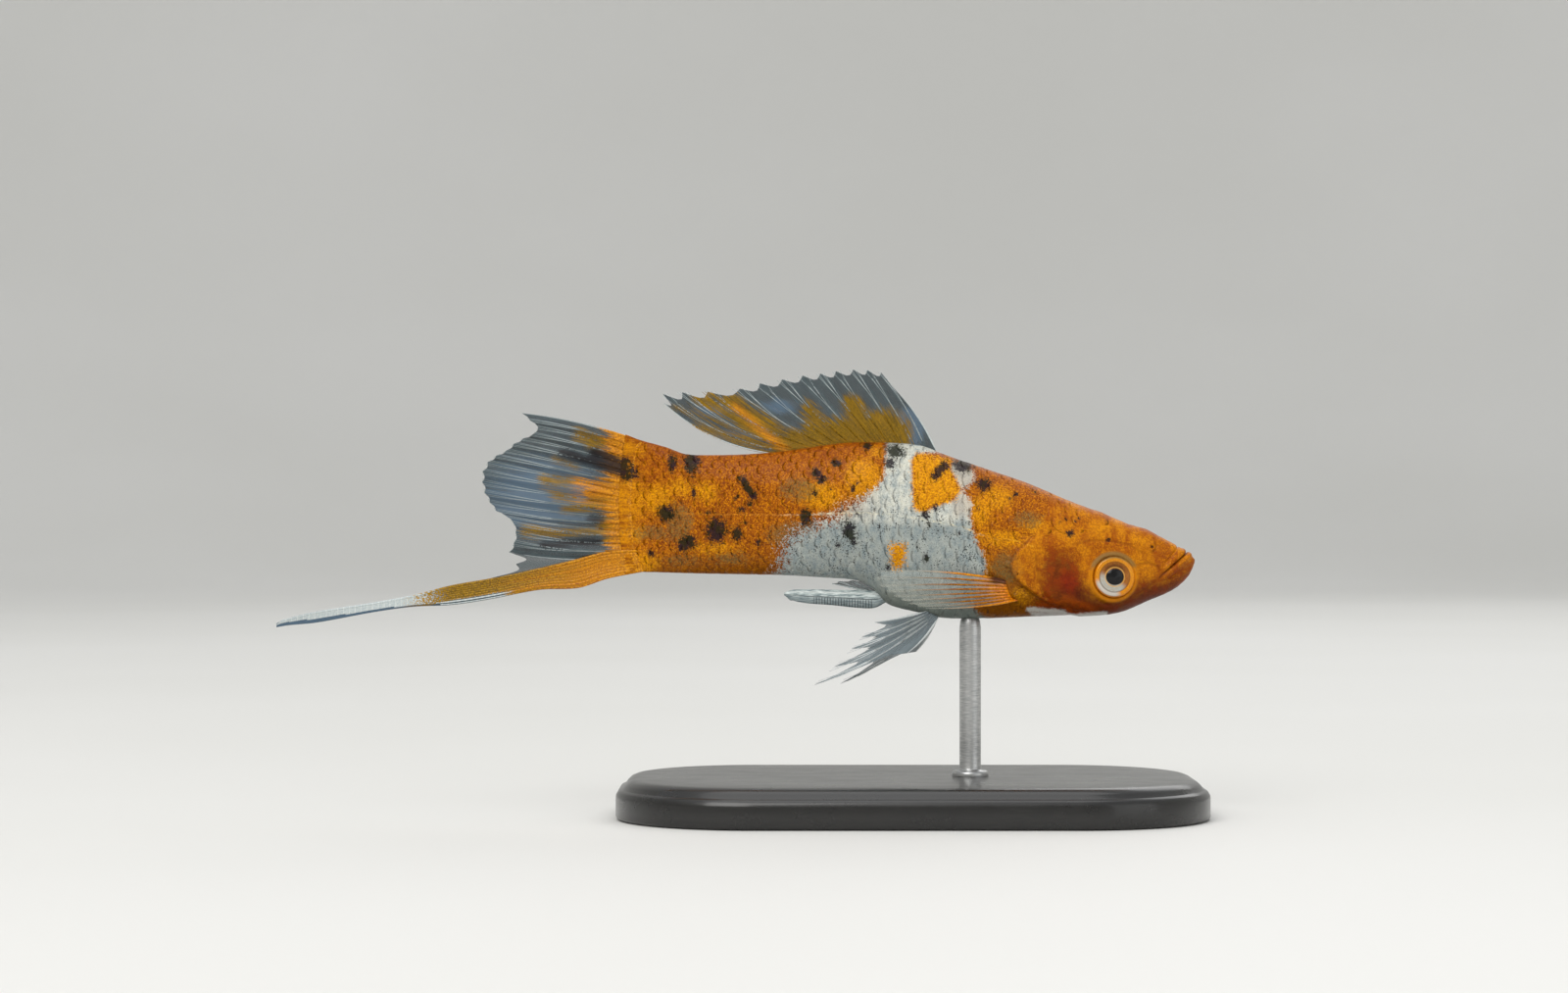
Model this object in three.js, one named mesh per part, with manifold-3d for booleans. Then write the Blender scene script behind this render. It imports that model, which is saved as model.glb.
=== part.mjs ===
// A male swordtail at life size, swimming nose slightly down, held on a small display stand.
// Units are millimetres: +X runs towards the snout, +Z is up, and the right flank faces -Y.
// The origin is the centre of the stand's underside.

import * as THREE from "three";
import { mergeVertices } from "three/addons/utils/BufferGeometryUtils.js";
import Module from "manifold-3d";

const wasm = await Module();
wasm.setup();

// Driving sizes, in the fish's own frame: x = 0 is over the rod and z = 0 is the belly's lowest point
const FISH_HEIGHT = 20; // belly above the floor
const FISH_AHEAD = 6; // the rod ahead of the stand's middle
const GAP = 0.3; // between two pieces that touch
const SNOUT_X = 22.85;
const TAIL_BASE_X = -33.5;
const SWORD_TIP_X = -71.2;
const BODY_SIDES = 32;

// The tail sways a little to the left of the body's middle plane
const SWAY_START_X = -12;
const SWAY_AT_TIP = 3;

// Thickness of the fins: the web between rays, and a ray at its root and near its tip
const WEB = 0.5;
const RAY_ROOT = 0.95;
const RAY_TIP = 0.6;
const EDGE = 0.35;
const FORK = [0.45, 0.7]; // shares of a ray's length between which it parts into two

// Outline of the body, seen from the side and from above: [x, value]
const BACK_LINE = [
  [-33.5, 18.3], [-31, 17.6], [-29, 16.9], [-26, 16.8], [-21, 17.0], [-17, 17.5], [-13, 18.05], [-9, 18.1],
  [-5, 17.8], [-3, 17.0], [1, 15.6], [6, 13.9], [10, 12.2], [13, 11.05], [16, 9.75], [18, 9.15], [19.2, 8.5],
  [21, 7.55], [21.8, 7.0], [22.4, 6.6], [22.85, 6.15],
];
const BELLY_LINE = [
  [-33.5, 4.7], [-29, 4.6], [-24, 4.5], [-19, 4.4], [-14, 4.1], [-12, 3.95], [-10.8, 3.6], [-9.7, 2.8],
  [-8.9, 1.8], [-7.8, 1.2], [-5, 0.55], [-2.8, 0.05], [1, 0], [7, 0.2], [11, 0.35], [14, 0.6], [17, 1.5],
  [19, 2.25], [20.5, 3.05], [21.4, 3.9], [22.3, 5.0], [22.85, 5.75],
];
const HALF_WIDTH = [
  [-33.5, 0.75], [-31, 1.15], [-27, 1.7], [-21, 2.35], [-15, 3.05], [-9, 3.7], [-3, 4.1], [3, 4.25], [8, 4.1],
  [13, 3.65], [17, 3.05], [19.5, 2.5], [21.3, 2.0], [22.3, 1.45], [22.7, 1.0], [22.85, 0.6],
];
// How far up the depth the body is widest, and how square its back and belly are (2 is an ellipse)
const WIDEST_AT = [
  [-33.5, 0.5], [-20, 0.5], [-5, 0.55], [6, 0.5], [12, 0.44], [16, 0.46], [19, 0.6], [22.85, 0.6],
];
const BACK_SQUARE = [
  [-33.5, 2.6], [-20, 2.1], [-5, 1.9], [4, 2.05], [12, 2.6], [18, 3.2], [21, 3.4], [22.85, 2.8],
];
const BELLY_SQUARE = [
  [-33.5, 2.6], [-20, 2.2], [-8, 1.9], [2, 2.2], [10, 2.7], [14, 3], [18, 2.4], [22.85, 2.2],
];

// Head: eye, gill cover, mouth
const EYE = { x: 14.3, z: 4.35, radius: 2.1, flatness: 0.7, bulge: 0.42 };
const ORBIT_RIM = { radius: 2.45, thickness: 0.3, sunk: 0.08 };
const NOSTRIL = { x: 18.4, z: 7.55, radius: 0.32 };
const GILL_COVER = { x: 6.9, z: 4.7, halfLength: 3.3, halfHeight: 3.6, inner: 2.4, swell: 0.28 };
const GILL_LINE = [
  [8.6, 15], [7.6, 11.5], [6.2, 8.7], [4.5, 7.0], [3.85, 5.7], [4.1, 4.5], [5.1, 3.5], [7.2, 2.0], [11, 0.2],
  [13, -1.5],
];
const MOUTH = { cornerX: 19.4, cornerZ: 4.6, frontX: 23.4, frontZ: 8.0, throatX: 18.6, throatZ: -0.5 };
const UPPER_LIP = { radius: 0.42, above: 0.42 };
const LOWER_LIP = { radius: 0.45, above: -0.62 };
const STALK_CUT_X = -19.2;

// Fins, as [x, z] points: the ends of the ray roots, and the free edge that the ray tips reach
const DORSAL_FIN = {
  rays: 14,
  rootFrom: [-3.3, 16.3],
  rootTo: [-18.6, 16.4],
  edge: [
    [-7.3, 23.1], [-9.1, 25.1], [-12.5, 25.45], [-18.2, 24.6], [-24, 23.2], [-31.4, 23.0], [-31.3, 21.9],
  ],
  bow: [-0.05, 0.09],
};
const TAIL_FIN = {
  rays: 15,
  rootFrom: [-32.9, 17.95],
  rootTo: [-32.9, 7.35],
  edge: [
    [-45.9, 21.1], [-44.0, 19.2], [-46.2, 18.0], [-49.0, 16.1], [-49.9, 13.9], [-48.8, 11.4], [-46.5, 9.5],
    [-47.2, 6.6],
  ],
};
const SWORD_TOP = [
  [-71.2, -0.55], [-70.3, -0.1], [-67, 0.7], [-61, 1.65], [-57, 2.4], [-53, 3.4], [-49, 4.1], [-44, 5.15],
  [-40, 6.1], [-37, 6.9], [-32.9, 7.1],
];
const SWORD_BOTTOM = [
  [-71.2, -0.95], [-70, -0.75], [-67, -0.45], [-61, 0.65], [-57, 1.2], [-53, 1.4], [-49, 2.0], [-44, 2.95],
  [-40, 3.15], [-37, 4.1], [-32.9, 4.9],
];
const SWORD_RAYS = 4;
const GONOPODIUM_TOP = [[-19, 2.7], [-18, 3.0], [-14, 3.0], [-11, 2.95], [-8.6, 2.5]];
const GONOPODIUM_BOTTOM = [[-19, 2.4], [-17.6, 1.75], [-14, 1.4], [-11, 1.1], [-8.6, 1.3]];
const GONOPODIUM_THICKNESS = 0.9;
const ANAL_WEB = {
  rays: 3,
  rootFrom: [-10.2, 2.6],
  rootTo: [-9.2, 2.6],
  tips: [[-14, 3.5], [-13.6, 3.2], [-13.2, 2.8]],
};
const PELVIC_FIN = {
  rays: 6,
  rootFrom: [0.3, -0.1],
  rootTo: [-0.9, 0.5],
  tips: [[-3.1, -4.0], [-12.8, -7.4], [-10.6, -5.4], [-8.8, -3.6], [-7.7, -2.3], [-6.3, -0.8]],
  place: { x: -3.6, y: 1.2, z: 0.35, splay: 0.32 },
  right: { swing: 0, yaw: 0.1 },
  left: { swing: -0.05, yaw: 0.5 },
};
const PECTORAL_FIN = {
  rays: 8,
  rootFrom: [0.6, 0.85],
  rootTo: [0.6, -0.85],
  edge: [[-13.6, 2.2], [-14.0, 1.2], [-12.8, 0], [-11, -1.0], [-9, -1.6]],
  place: { x: 4.2, y: 4.0, z: 2.9, turn: 0.2, tilt: -0.12 },
};

// Display stand
const BASE = { length: 60, width: 36, thickness: 4, corner: 14, bevel: 0.5 };
const ROD_RADIUS = 1.1;

// A smooth curve through a few [x, value] points, as a function of x, made of cubic spans
function through(points) {
  const last = points.length - 1;
  const slopes = points.map((point, i) => {
    const before = points[Math.max(i - 1, 0)];
    const after = points[Math.min(i + 1, last)];
    return (after[1] - before[1]) / (after[0] - before[0]);
  });
  return (x) => {
    const inside = THREE.MathUtils.clamp(x, points[0][0], points[last][0]);
    let i = 0;
    while (i < last - 1 && inside > points[i + 1][0]) i += 1;
    const [x0, y0] = points[i];
    const [x1, y1] = points[i + 1];
    const span = x1 - x0;
    const t = (inside - x0) / span;
    const toEnd = t * t * (3 - 2 * t);
    return y0 + (y1 - y0) * toEnd + span * t * (1 - t) * (slopes[i] * (1 - t) - slopes[i + 1] * t);
  };
}

const backZ = through(BACK_LINE);
const bellyZ = through(BELLY_LINE);
const halfWidth = through(HALF_WIDTH);
const widestAt = through(WIDEST_AT);
const backSquare = through(BACK_SQUARE);
const bellySquare = through(BELLY_SQUARE);

// How far the gill cover stands out of the flank at a place on the head
function gillSwell(x, z) {
  const along = 1 - THREE.MathUtils.smoothstep(x, 7, 13.5);
  const up = THREE.MathUtils.smoothstep(z, 0, 2.5) * (1 - THREE.MathUtils.smoothstep(z, 7, 11));
  return GILL_COVER.swell * along * up;
}

// A point on the body's surface at x, where turn goes round from the left flank over the back
function bodyPoint(x, turn, grow = 0, swells = false) {
  const top = backZ(x) + grow;
  const bottom = bellyZ(x) - grow;
  const middle = bottom + (top - bottom) * widestAt(x);
  const side = Math.cos(turn);
  const up = Math.sin(turn);
  const power = 2 / (up > 0 ? backSquare(x) : bellySquare(x));
  const reach = up > 0 ? top - middle : middle - bottom;
  const z = middle + reach * Math.sign(up) * Math.abs(up) ** power;
  const swell = swells ? gillSwell(x, z) : 0;
  const y = (halfWidth(x) + grow) * Math.abs(side) ** power + swell * Math.abs(side);
  return [x, Math.sign(side) * y, z];
}

// How far the body's surface is from its middle plane at x and z
function bodySide(x, z) {
  const top = backZ(x);
  const bottom = bellyZ(x);
  const middle = bottom + (top - bottom) * widestAt(x);
  const square = z > middle ? backSquare(x) : bellySquare(x);
  const reach = z > middle ? top - middle : middle - bottom;
  const level = Math.min(Math.abs(z - middle) / reach, 1);
  return halfWidth(x) * (1 - level ** square) ** (1 / square);
}

function evenly(from, to, steps) {
  return Array.from({ length: steps + 1 }, (_, i) => from + ((to - from) * i) / steps);
}

// A closed mesh from points and triangles, turned so that its faces point out
function closedGeometry(points, triangles) {
  const corner = (i) => new THREE.Vector3(...points[i]);
  const volume = triangles.reduce((sum, [a, b, c]) => sum + corner(a).dot(corner(b).cross(corner(c))), 0);
  const outward = volume < 0 ? triangles.map(([a, b, c]) => [a, c, b]) : triangles;
  const geometry = new THREE.BufferGeometry();
  geometry.setAttribute("position", new THREE.Float32BufferAttribute(points.flat(), 3));
  geometry.setIndex(outward.flat());
  return geometry;
}

// Rings of points joined into a closed skin, with each end closed by a fan
function skinOver(rings) {
  const sides = rings[0].length;
  const points = rings.flat();
  const triangles = [];
  for (let i = 0; i < rings.length - 1; i += 1) {
    for (let j = 0; j < sides; j += 1) {
      const a = i * sides + j;
      const b = i * sides + ((j + 1) % sides);
      triangles.push([a, b, a + sides], [b, b + sides, a + sides]);
    }
  }
  for (const [ring, order] of [[0, -1], [rings.length - 1, 1]]) {
    const centre = rings[ring].reduce((sum, p) => sum.add(new THREE.Vector3(...p)), new THREE.Vector3());
    points.push(centre.divideScalar(sides).toArray());
    for (let j = 0; j < sides; j += 1) {
      const a = ring * sides + j;
      const b = ring * sides + ((j + 1) % sides);
      triangles.push(order > 0 ? [points.length - 1, a, b] : [points.length - 1, b, a]);
    }
  }
  return closedGeometry(points, triangles);
}

function bodyLoft(stations, { sides = BODY_SIDES, grow = 0, swells = false } = {}) {
  const turns = evenly(0, 2 * Math.PI, sides).slice(0, sides);
  return skinOver(stations.map((x) => turns.map((turn) => bodyPoint(x, turn, grow, swells))));
}

// Solids are joined and cut as manifolds, and only the largest closed surface is kept
function solidOf(geometry) {
  const bare = geometry.clone();
  bare.deleteAttribute("normal");
  bare.deleteAttribute("uv");
  const merged = mergeVertices(bare, 1e-4);
  return new wasm.Manifold(
    new wasm.Mesh({
      numProp: 3,
      vertProperties: new Float32Array(merged.attributes.position.array),
      triVerts: new Uint32Array(merged.index.array),
    }),
  );
}

function geometryOf(solid) {
  const pieces = solid.decompose().sort((a, b) => b.volume() - a.volume());
  const mesh = pieces[0].getMesh();
  const points = [];
  for (let i = 0; i < mesh.numVert; i += 1) {
    points.push(...mesh.vertProperties.subarray(i * mesh.numProp, i * mesh.numProp + 3));
  }
  const geometry = new THREE.BufferGeometry();
  geometry.setAttribute("position", new THREE.Float32BufferAttribute(points, 3));
  geometry.setIndex(Array.from(mesh.triVerts));
  return geometry;
}

// A prism across the whole fish, or from one depth to another, over an outline of [x, z] points
function prism(outline, from = -12, to = 12) {
  const shape = new THREE.Shape(outline.map(([x, z]) => new THREE.Vector2(x, z)));
  const geometry = new THREE.ExtrudeGeometry(shape, { depth: to - from, bevelEnabled: false, steps: 1 });
  geometry.rotateX(Math.PI / 2);
  geometry.translate(0, to, 0);
  return solidOf(geometry);
}

// The same line, moved sideways by a distance, to the left of the way it runs
function besideLine(line, distance) {
  return line.map(([x, z], i) => {
    const [xa, za] = line[Math.max(i - 1, 0)];
    const [xb, zb] = line[Math.min(i + 1, line.length - 1)];
    const length = Math.hypot(xb - xa, zb - za);
    return [x - ((zb - za) / length) * distance, z + ((xb - xa) / length) * distance];
  });
}

// A line through a few points, cut into short steps
function smoothLine(points, steps) {
  return new THREE.SplineCurve(points.map(([x, z]) => new THREE.Vector2(x, z)))
    .getSpacedPoints(steps)
    .map((p) => p.toArray());
}

// A fin: a thin web with a ridge along each ray, which forks past its middle, in the plane y = 0
// and bowed by a share of its length that goes from bow[0] at the first ray to bow[1] at the last
function finGeometry({ roots, tips, rows, bow = [0, 0], cup = 0, notch = 0.03, rayRoot = RAY_ROOT }) {
  const rayPoint = (i, t) => {
    const [x0, z0] = roots[i];
    const [x1, z1] = tips[i];
    const bent = 4 * t * (1 - t) * (bow[0] + ((bow[1] - bow[0]) * i) / (roots.length - 1));
    return [x0 + (x1 - x0) * t - (z1 - z0) * bent, z0 + (z1 - z0) * t + (x1 - x0) * bent];
  };
  const sheetPoint = (s, t) => {
    const i = Math.min(Math.floor(s), roots.length - 2);
    const share = s - i;
    const [xa, za] = rayPoint(i, t);
    const [xb, zb] = rayPoint(i + 1, t);
    return [xa + (xb - xa) * share, za + (zb - za) * share];
  };
  const columns = [{ ray: 0, offset: 0, kind: "ray" }];
  for (let i = 0; i < roots.length - 1; i += 1) {
    columns.push(
      { ray: i, offset: 1, kind: "branch" },
      { ray: i, offset: 0, kind: "web" },
      { ray: i + 1, offset: -1, kind: "branch" },
      { ray: i + 1, offset: 0, kind: "ray" },
    );
  }
  const faces = [[], []];
  for (const { ray, offset, kind } of columns) {
    for (const t of evenly(0, 1, rows)) {
      const forked = THREE.MathUtils.smoothstep(t, ...FORK);
      const s = kind === "web" ? ray + 0.5 : ray + offset * (0.16 + 0.1 * forked);
      const reach = kind === "web" ? 1 - notch : kind === "branch" ? 1 - notch * 0.3 : 1;
      const [x, z] = sheetPoint(s, t * reach);
      const ridge = (rayRoot + (RAY_TIP - rayRoot) * t - WEB) * (kind === "ray" ? 1 - forked : forked);
      const thickness = t > 0.999 ? EDGE : WEB + (kind === "web" ? 0 : ridge);
      const y = cup * t * t;
      faces[0].push([x, y - thickness / 2, z]);
      faces[1].push([x, y + thickness / 2, z]);
    }
  }
  const perColumn = rows + 1;
  const back = faces[0].length;
  const triangles = [];
  for (let c = 0; c < columns.length - 1; c += 1) {
    for (let r = 0; r < rows; r += 1) {
      const a = c * perColumn + r;
      const b = a + perColumn;
      triangles.push([a, b, a + 1], [b, b + 1, a + 1]);
      triangles.push([back + a, back + a + 1, back + b], [back + b, back + a + 1, back + b + 1]);
    }
  }
  const rim = [
    ...evenly(0, columns.length - 1, columns.length - 1).map((c) => c * perColumn),
    ...evenly(1, rows, rows - 1).map((r) => (columns.length - 1) * perColumn + r),
    ...evenly(columns.length - 2, 0, columns.length - 2).map((c) => c * perColumn + rows),
    ...evenly(rows - 1, 1, rows - 2),
  ];
  rim.forEach((a, i) => {
    const b = rim[(i + 1) % rim.length];
    triangles.push([a, back + a, b], [b, back + a, back + b]);
  });
  return closedGeometry([...faces[0], ...faces[1]], triangles);
}

function rootsBetween({ rays, rootFrom, rootTo }) {
  return evenly(0, 1, rays - 1).map((t) => rootFrom.map((value, i) => value + (rootTo[i] - value) * t));
}

function mirrored(geometry) {
  const other = geometry.clone().scale(1, -1, 1);
  const order = other.index.array;
  for (let i = 0; i < order.length; i += 3) [order[i + 1], order[i + 2]] = [order[i + 2], order[i + 1]];
  return other;
}

// Head, cut from one loft: gill covers, lower jaw and skull
const gillLine = smoothLine(GILL_LINE, 26);
const ABOVE = 30; // outlines of cuts reach this far over the fish, and this far under it
const BELOW = -12;

function gillSide(shift, farX) {
  return [...besideLine(gillLine, shift), [farX, BELOW], [farX, ABOVE], [GILL_LINE[0][0], ABOVE]];
}

const inFrontOfGills = prism(gillSide(GAP / 2, 40));
const behindGills = prism(gillSide(-GAP / 2, -60).reverse());

const headStations = [...evenly(4, 19, 20), ...evenly(19.5, 21.7, 5), 22.05, 22.35, 22.6, SNOUT_X];
const headWhole = solidOf(bodyLoft(headStations, { swells: true }));

const mouthSlope = (MOUTH.frontZ - MOUTH.cornerZ) / (MOUTH.frontX - MOUTH.cornerX);
const mouthZ = (x) => MOUTH.cornerZ + (x - MOUTH.cornerX) * mouthSlope;

// How far the mouth reaches from the middle between its corners to the skin, along one bearing
function mouthReach(bearing, above) {
  let inside = 0;
  let outside = SNOUT_X - MOUTH.cornerX + 1;
  while (outside - inside > 0.001) {
    const reach = (inside + outside) / 2;
    const x = MOUTH.cornerX + reach * Math.cos(bearing);
    if (reach * Math.abs(Math.sin(bearing)) < bodySide(x, mouthZ(x) + above)) inside = reach;
    else outside = reach;
  }
  return inside;
}

// A lip follows the edge of the mouth from one corner round the front to the other
function lip({ radius, above }) {
  const path = evenly(-Math.PI / 2, Math.PI / 2, 12).map((bearing) => {
    const reach = mouthReach(bearing, above) - radius / 4;
    const x = MOUTH.cornerX + reach * Math.cos(bearing);
    return new THREE.Vector3(x, reach * Math.sin(bearing), mouthZ(x) + above);
  });
  const section = new THREE.Shape();
  section.absarc(0, 0, radius, 0, 2 * Math.PI);
  const curve = new THREE.CatmullRomCurve3(path);
  const settings = { steps: 18, curveSegments: 4, bevelEnabled: false };
  return solidOf(new THREE.ExtrudeGeometry(section, { ...settings, extrudePath: curve }));
}

function onBothSides(make) {
  const right = make();
  return [solidOf(right), solidOf(mirrored(right))];
}

// The flank's slope at the eye turns the ball to look the way the skin faces
const eyeSide = bodySide(EYE.x, EYE.z);
const eyeTurn = Math.atan(eyeSide - bodySide(EYE.x + 1, EYE.z));
const eyeTilt = Math.atan(bodySide(EYE.x, EYE.z + 1) - eyeSide);

function eyeBall(grow) {
  const ball = new THREE.SphereGeometry(EYE.radius + grow, 20, 12);
  ball.scale(1, EYE.flatness, 1);
  ball.rotateX(eyeTilt);
  ball.rotateZ(eyeTurn);
  return ball.translate(EYE.x, EYE.radius * EYE.flatness - EYE.bulge - eyeSide, EYE.z);
}

// The rim of the orbit is a ring bent to lie on the flank
function orbitRim() {
  const ring = new THREE.TorusGeometry(ORBIT_RIM.radius, ORBIT_RIM.thickness, 6, 20);
  ring.rotateX(Math.PI / 2);
  const place = ring.attributes.position;
  for (let i = 0; i < place.count; i += 1) {
    const bearing = Math.atan2(place.getZ(i), place.getX(i));
    const x = EYE.x + ORBIT_RIM.radius * Math.cos(bearing);
    const z = EYE.z + ORBIT_RIM.radius * Math.sin(bearing);
    place.setY(i, place.getY(i) - bodySide(x, z) + ORBIT_RIM.sunk);
  }
  return ring.translate(EYE.x, 0, EYE.z);
}

function nostril() {
  const pit = new THREE.SphereGeometry(NOSTRIL.radius, 8, 6);
  return pit.translate(NOSTRIL.x, -bodySide(NOSTRIL.x, NOSTRIL.z), NOSTRIL.z);
}

function gillCoverPlug(grow, inner) {
  const outline = evenly(0, 2 * Math.PI, 28)
    .slice(0, 28)
    .map((a) => [
      GILL_COVER.x + (GILL_COVER.halfLength + grow) * Math.cos(a),
      GILL_COVER.z + (GILL_COVER.halfHeight + grow) * Math.sin(a),
    ]);
  return prism(outline, -9, -inner);
}

const mouthLine = [
  [MOUTH.throatX, MOUTH.throatZ],
  [MOUTH.cornerX, MOUTH.cornerZ],
  [MOUTH.frontX, MOUTH.frontZ],
];
function belowMouth(shift) {
  const front = MOUTH.frontX + 5;
  return prism([...besideLine(mouthLine, shift), [front, MOUTH.frontZ], [front, MOUTH.throatZ]]);
}

const rims = onBothSides(orbitRim);
const sockets = onBothSides(() => eyeBall(GAP));
const eyes = onBothSides(() => eyeBall(0));
const pits = onBothSides(nostril);
const mirrorSolid = (solid) => solidOf(mirrored(geometryOf(solid)));
const coverPlug = gillCoverPlug(0, GILL_COVER.inner + GAP / 2);
const coverRoom = gillCoverPlug(GAP, GILL_COVER.inner - GAP / 2);

const headFront = [...rims, lip(UPPER_LIP), lip(LOWER_LIP)]
  .reduce((sum, piece) => sum.add(piece), headWhole)
  .intersect(inFrontOfGills);
const gillCoverRight = headFront.intersect(coverPlug);
const gillCoverLeft = headFront.intersect(mirrorSolid(coverPlug));
const skull = [...sockets, ...pits, coverRoom, mirrorSolid(coverRoom)].reduce(
  (rest, piece) => rest.subtract(piece),
  headFront,
);
const head = skull.subtract(belowMouth(GAP / 2));
const lowerJaw = headFront.intersect(belowMouth(-GAP / 2));

// Trunk and tail stalk, and the room they need around them
const trunk = solidOf(bodyLoft(evenly(STALK_CUT_X + GAP / 2, 13, 26)))
  .intersect(behindGills);
const stalk = solidOf(bodyLoft(evenly(TAIL_BASE_X, STALK_CUT_X - GAP / 2, 10)));
const bodyRoom = solidOf(bodyLoft([TAIL_BASE_X - GAP, ...evenly(TAIL_BASE_X, 13, 36)], { grow: GAP }));

// Fins on the middle line
const dorsalFin = solidOf(
  finGeometry({
    roots: rootsBetween(DORSAL_FIN),
    tips: smoothLine(DORSAL_FIN.edge, DORSAL_FIN.rays - 1),
    rows: 6,
    bow: DORSAL_FIN.bow,
    notch: 0.07,
  }),
).subtract(bodyRoom);
const tailFin = solidOf(
  finGeometry({
    roots: rootsBetween(TAIL_FIN),
    tips: smoothLine(TAIL_FIN.edge, TAIL_FIN.rays - 1),
    rows: 6,
    notch: 0.02,
    rayRoot: 1.15,
  }),
).subtract(bodyRoom);

// The sword: a long blade with a few rays side by side
function bladeGeometry(topLine, bottomLine, { from, to, steps, rays, root, tip }) {
  const top = through(topLine);
  const bottom = through(bottomLine);
  const heights = evenly(0, 1, rays * 2);
  const rings = evenly(0, 1, steps).map((share) => {
    const x = from + (to - from) * share;
    const thick = tip + (root - tip) * share;
    const level = (h) => bottom(x) + (top(x) - bottom(x)) * h;
    const half = (h, i) => (thick / 2) * (i % 2 ? 1 : 0.7);
    const right = heights.map((h, i) => [x, -half(h, i), level(h)]);
    const left = heights.map((h, i) => [x, half(h, i), level(h)]).reverse();
    return [...right, ...left];
  });
  return skinOver(rings);
}

const sword = solidOf(
  bladeGeometry(SWORD_TOP, SWORD_BOTTOM, {
    from: SWORD_TIP_X, to: TAIL_FIN.rootTo[0], steps: 22, rays: SWORD_RAYS, root: 1.2, tip: 0.5,
  }),
).subtract(bodyRoom);

// The gonopodium, the male's rod-like anal fin, with the short rest of that fin above its root
const gonopodiumRod = solidOf(
  bladeGeometry(GONOPODIUM_TOP, GONOPODIUM_BOTTOM, {
    from: -19, to: -8.6, steps: 18, rays: 3, root: GONOPODIUM_THICKNESS + 0.3, tip: GONOPODIUM_THICKNESS,
  }),
);
const analWeb = solidOf(
  finGeometry({
    roots: rootsBetween(ANAL_WEB),
    tips: ANAL_WEB.tips,
    rows: 4,
    rayRoot: 0.7,
    notch: 0.03,
  }),
);
const gonopodium = gonopodiumRod.add(analWeb).subtract(bodyRoom);

// Paired fins, built for the right side and mirrored for the left
function pelvicFin({ swing, yaw }) {
  const { place } = PELVIC_FIN;
  const fin = finGeometry({
    roots: rootsBetween(PELVIC_FIN),
    tips: PELVIC_FIN.tips,
    rows: 7,
    notch: 0.3,
    rayRoot: 0.75,
    cup: -0.4,
  });
  fin.rotateX(-place.splay);
  fin.rotateY(swing);
  fin.rotateZ(yaw);
  return fin.translate(place.x, -place.y, place.z);
}

function pectoralFin() {
  const { place } = PECTORAL_FIN;
  const fin = finGeometry({
    roots: rootsBetween(PECTORAL_FIN),
    tips: smoothLine(PECTORAL_FIN.edge, PECTORAL_FIN.rays - 1),
    rows: 6,
    notch: 0.03,
    rayRoot: 0.8,
    cup: 0.5,
  });
  fin.rotateX(place.tilt);
  fin.rotateZ(place.turn);
  return fin.translate(place.x, -place.y, place.z);
}

const pelvicRight = solidOf(pelvicFin(PELVIC_FIN.right)).subtract(bodyRoom);
const pelvicLeft = solidOf(mirrored(pelvicFin(PELVIC_FIN.left))).subtract(bodyRoom);
const [pectoralRight, pectoralLeft] = onBothSides(pectoralFin).map((fin) => fin.subtract(bodyRoom));

// Stand
function roundedPlate({ length, width, thickness, corner, bevel }) {
  const x = length / 2 - bevel;
  const y = width / 2 - bevel;
  const shape = new THREE.Shape();
  shape.moveTo(-x + corner, -y);
  shape.lineTo(x - corner, -y);
  shape.absarc(x - corner, -y + corner, corner, -Math.PI / 2, 0);
  shape.absarc(x - corner, y - corner, corner, 0, Math.PI / 2);
  shape.absarc(-x + corner, y - corner, corner, Math.PI / 2, Math.PI);
  shape.absarc(-x + corner, -y + corner, corner, Math.PI, 1.5 * Math.PI);
  const rounding = { bevelThickness: bevel, bevelSize: bevel, bevelSegments: 1, curveSegments: 6 };
  const plate = new THREE.ExtrudeGeometry(shape, { depth: thickness - 2 * bevel, ...rounding });
  return plate.translate(0, 0, bevel);
}

function rodGeometry() {
  const rod = new THREE.CylinderGeometry(ROD_RADIUS, ROD_RADIUS, FISH_HEIGHT, 20);
  rod.rotateX(Math.PI / 2);
  return rod.translate(FISH_AHEAD, 0, BASE.thickness + GAP + FISH_HEIGHT / 2);
}
const standRod = solidOf(rodGeometry()).subtract(bodyRoom.translate([FISH_AHEAD, 0, FISH_HEIGHT]));

// Colours and finishes
function finish(color, roughness = 0.4, metalness = 0) {
  return new THREE.MeshStandardMaterial({ color, roughness, metalness });
}
const MATERIALS = {
  orange: finish(0xd97a12),
  pale: finish(0xd9dcd4),
  finWeb: finish(0x8d9391, 0.3),
  swordYellow: finish(0xc98a1a, 0.35),
  eye: finish(0xd8c89a, 0.1),
  base: finish(0x2a2522, 0.5),
  steel: finish(0xb8babd, 0.3, 1),
};

function node(name, solid, material) {
  const mesh = new THREE.Mesh(geometryOf(solid), material);
  mesh.name = name;
  return mesh;
}

// Moves a fish piece sideways by the sway of the tail at each point
function swayed(mesh) {
  const place = mesh.geometry.attributes.position;
  for (let i = 0; i < place.count; i += 1) {
    const share = Math.max(0, (SWAY_START_X - place.getX(i)) / (SWAY_START_X - SWORD_TIP_X));
    place.setY(i, place.getY(i) + SWAY_AT_TIP * share * share);
  }
  return mesh;
}

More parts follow.
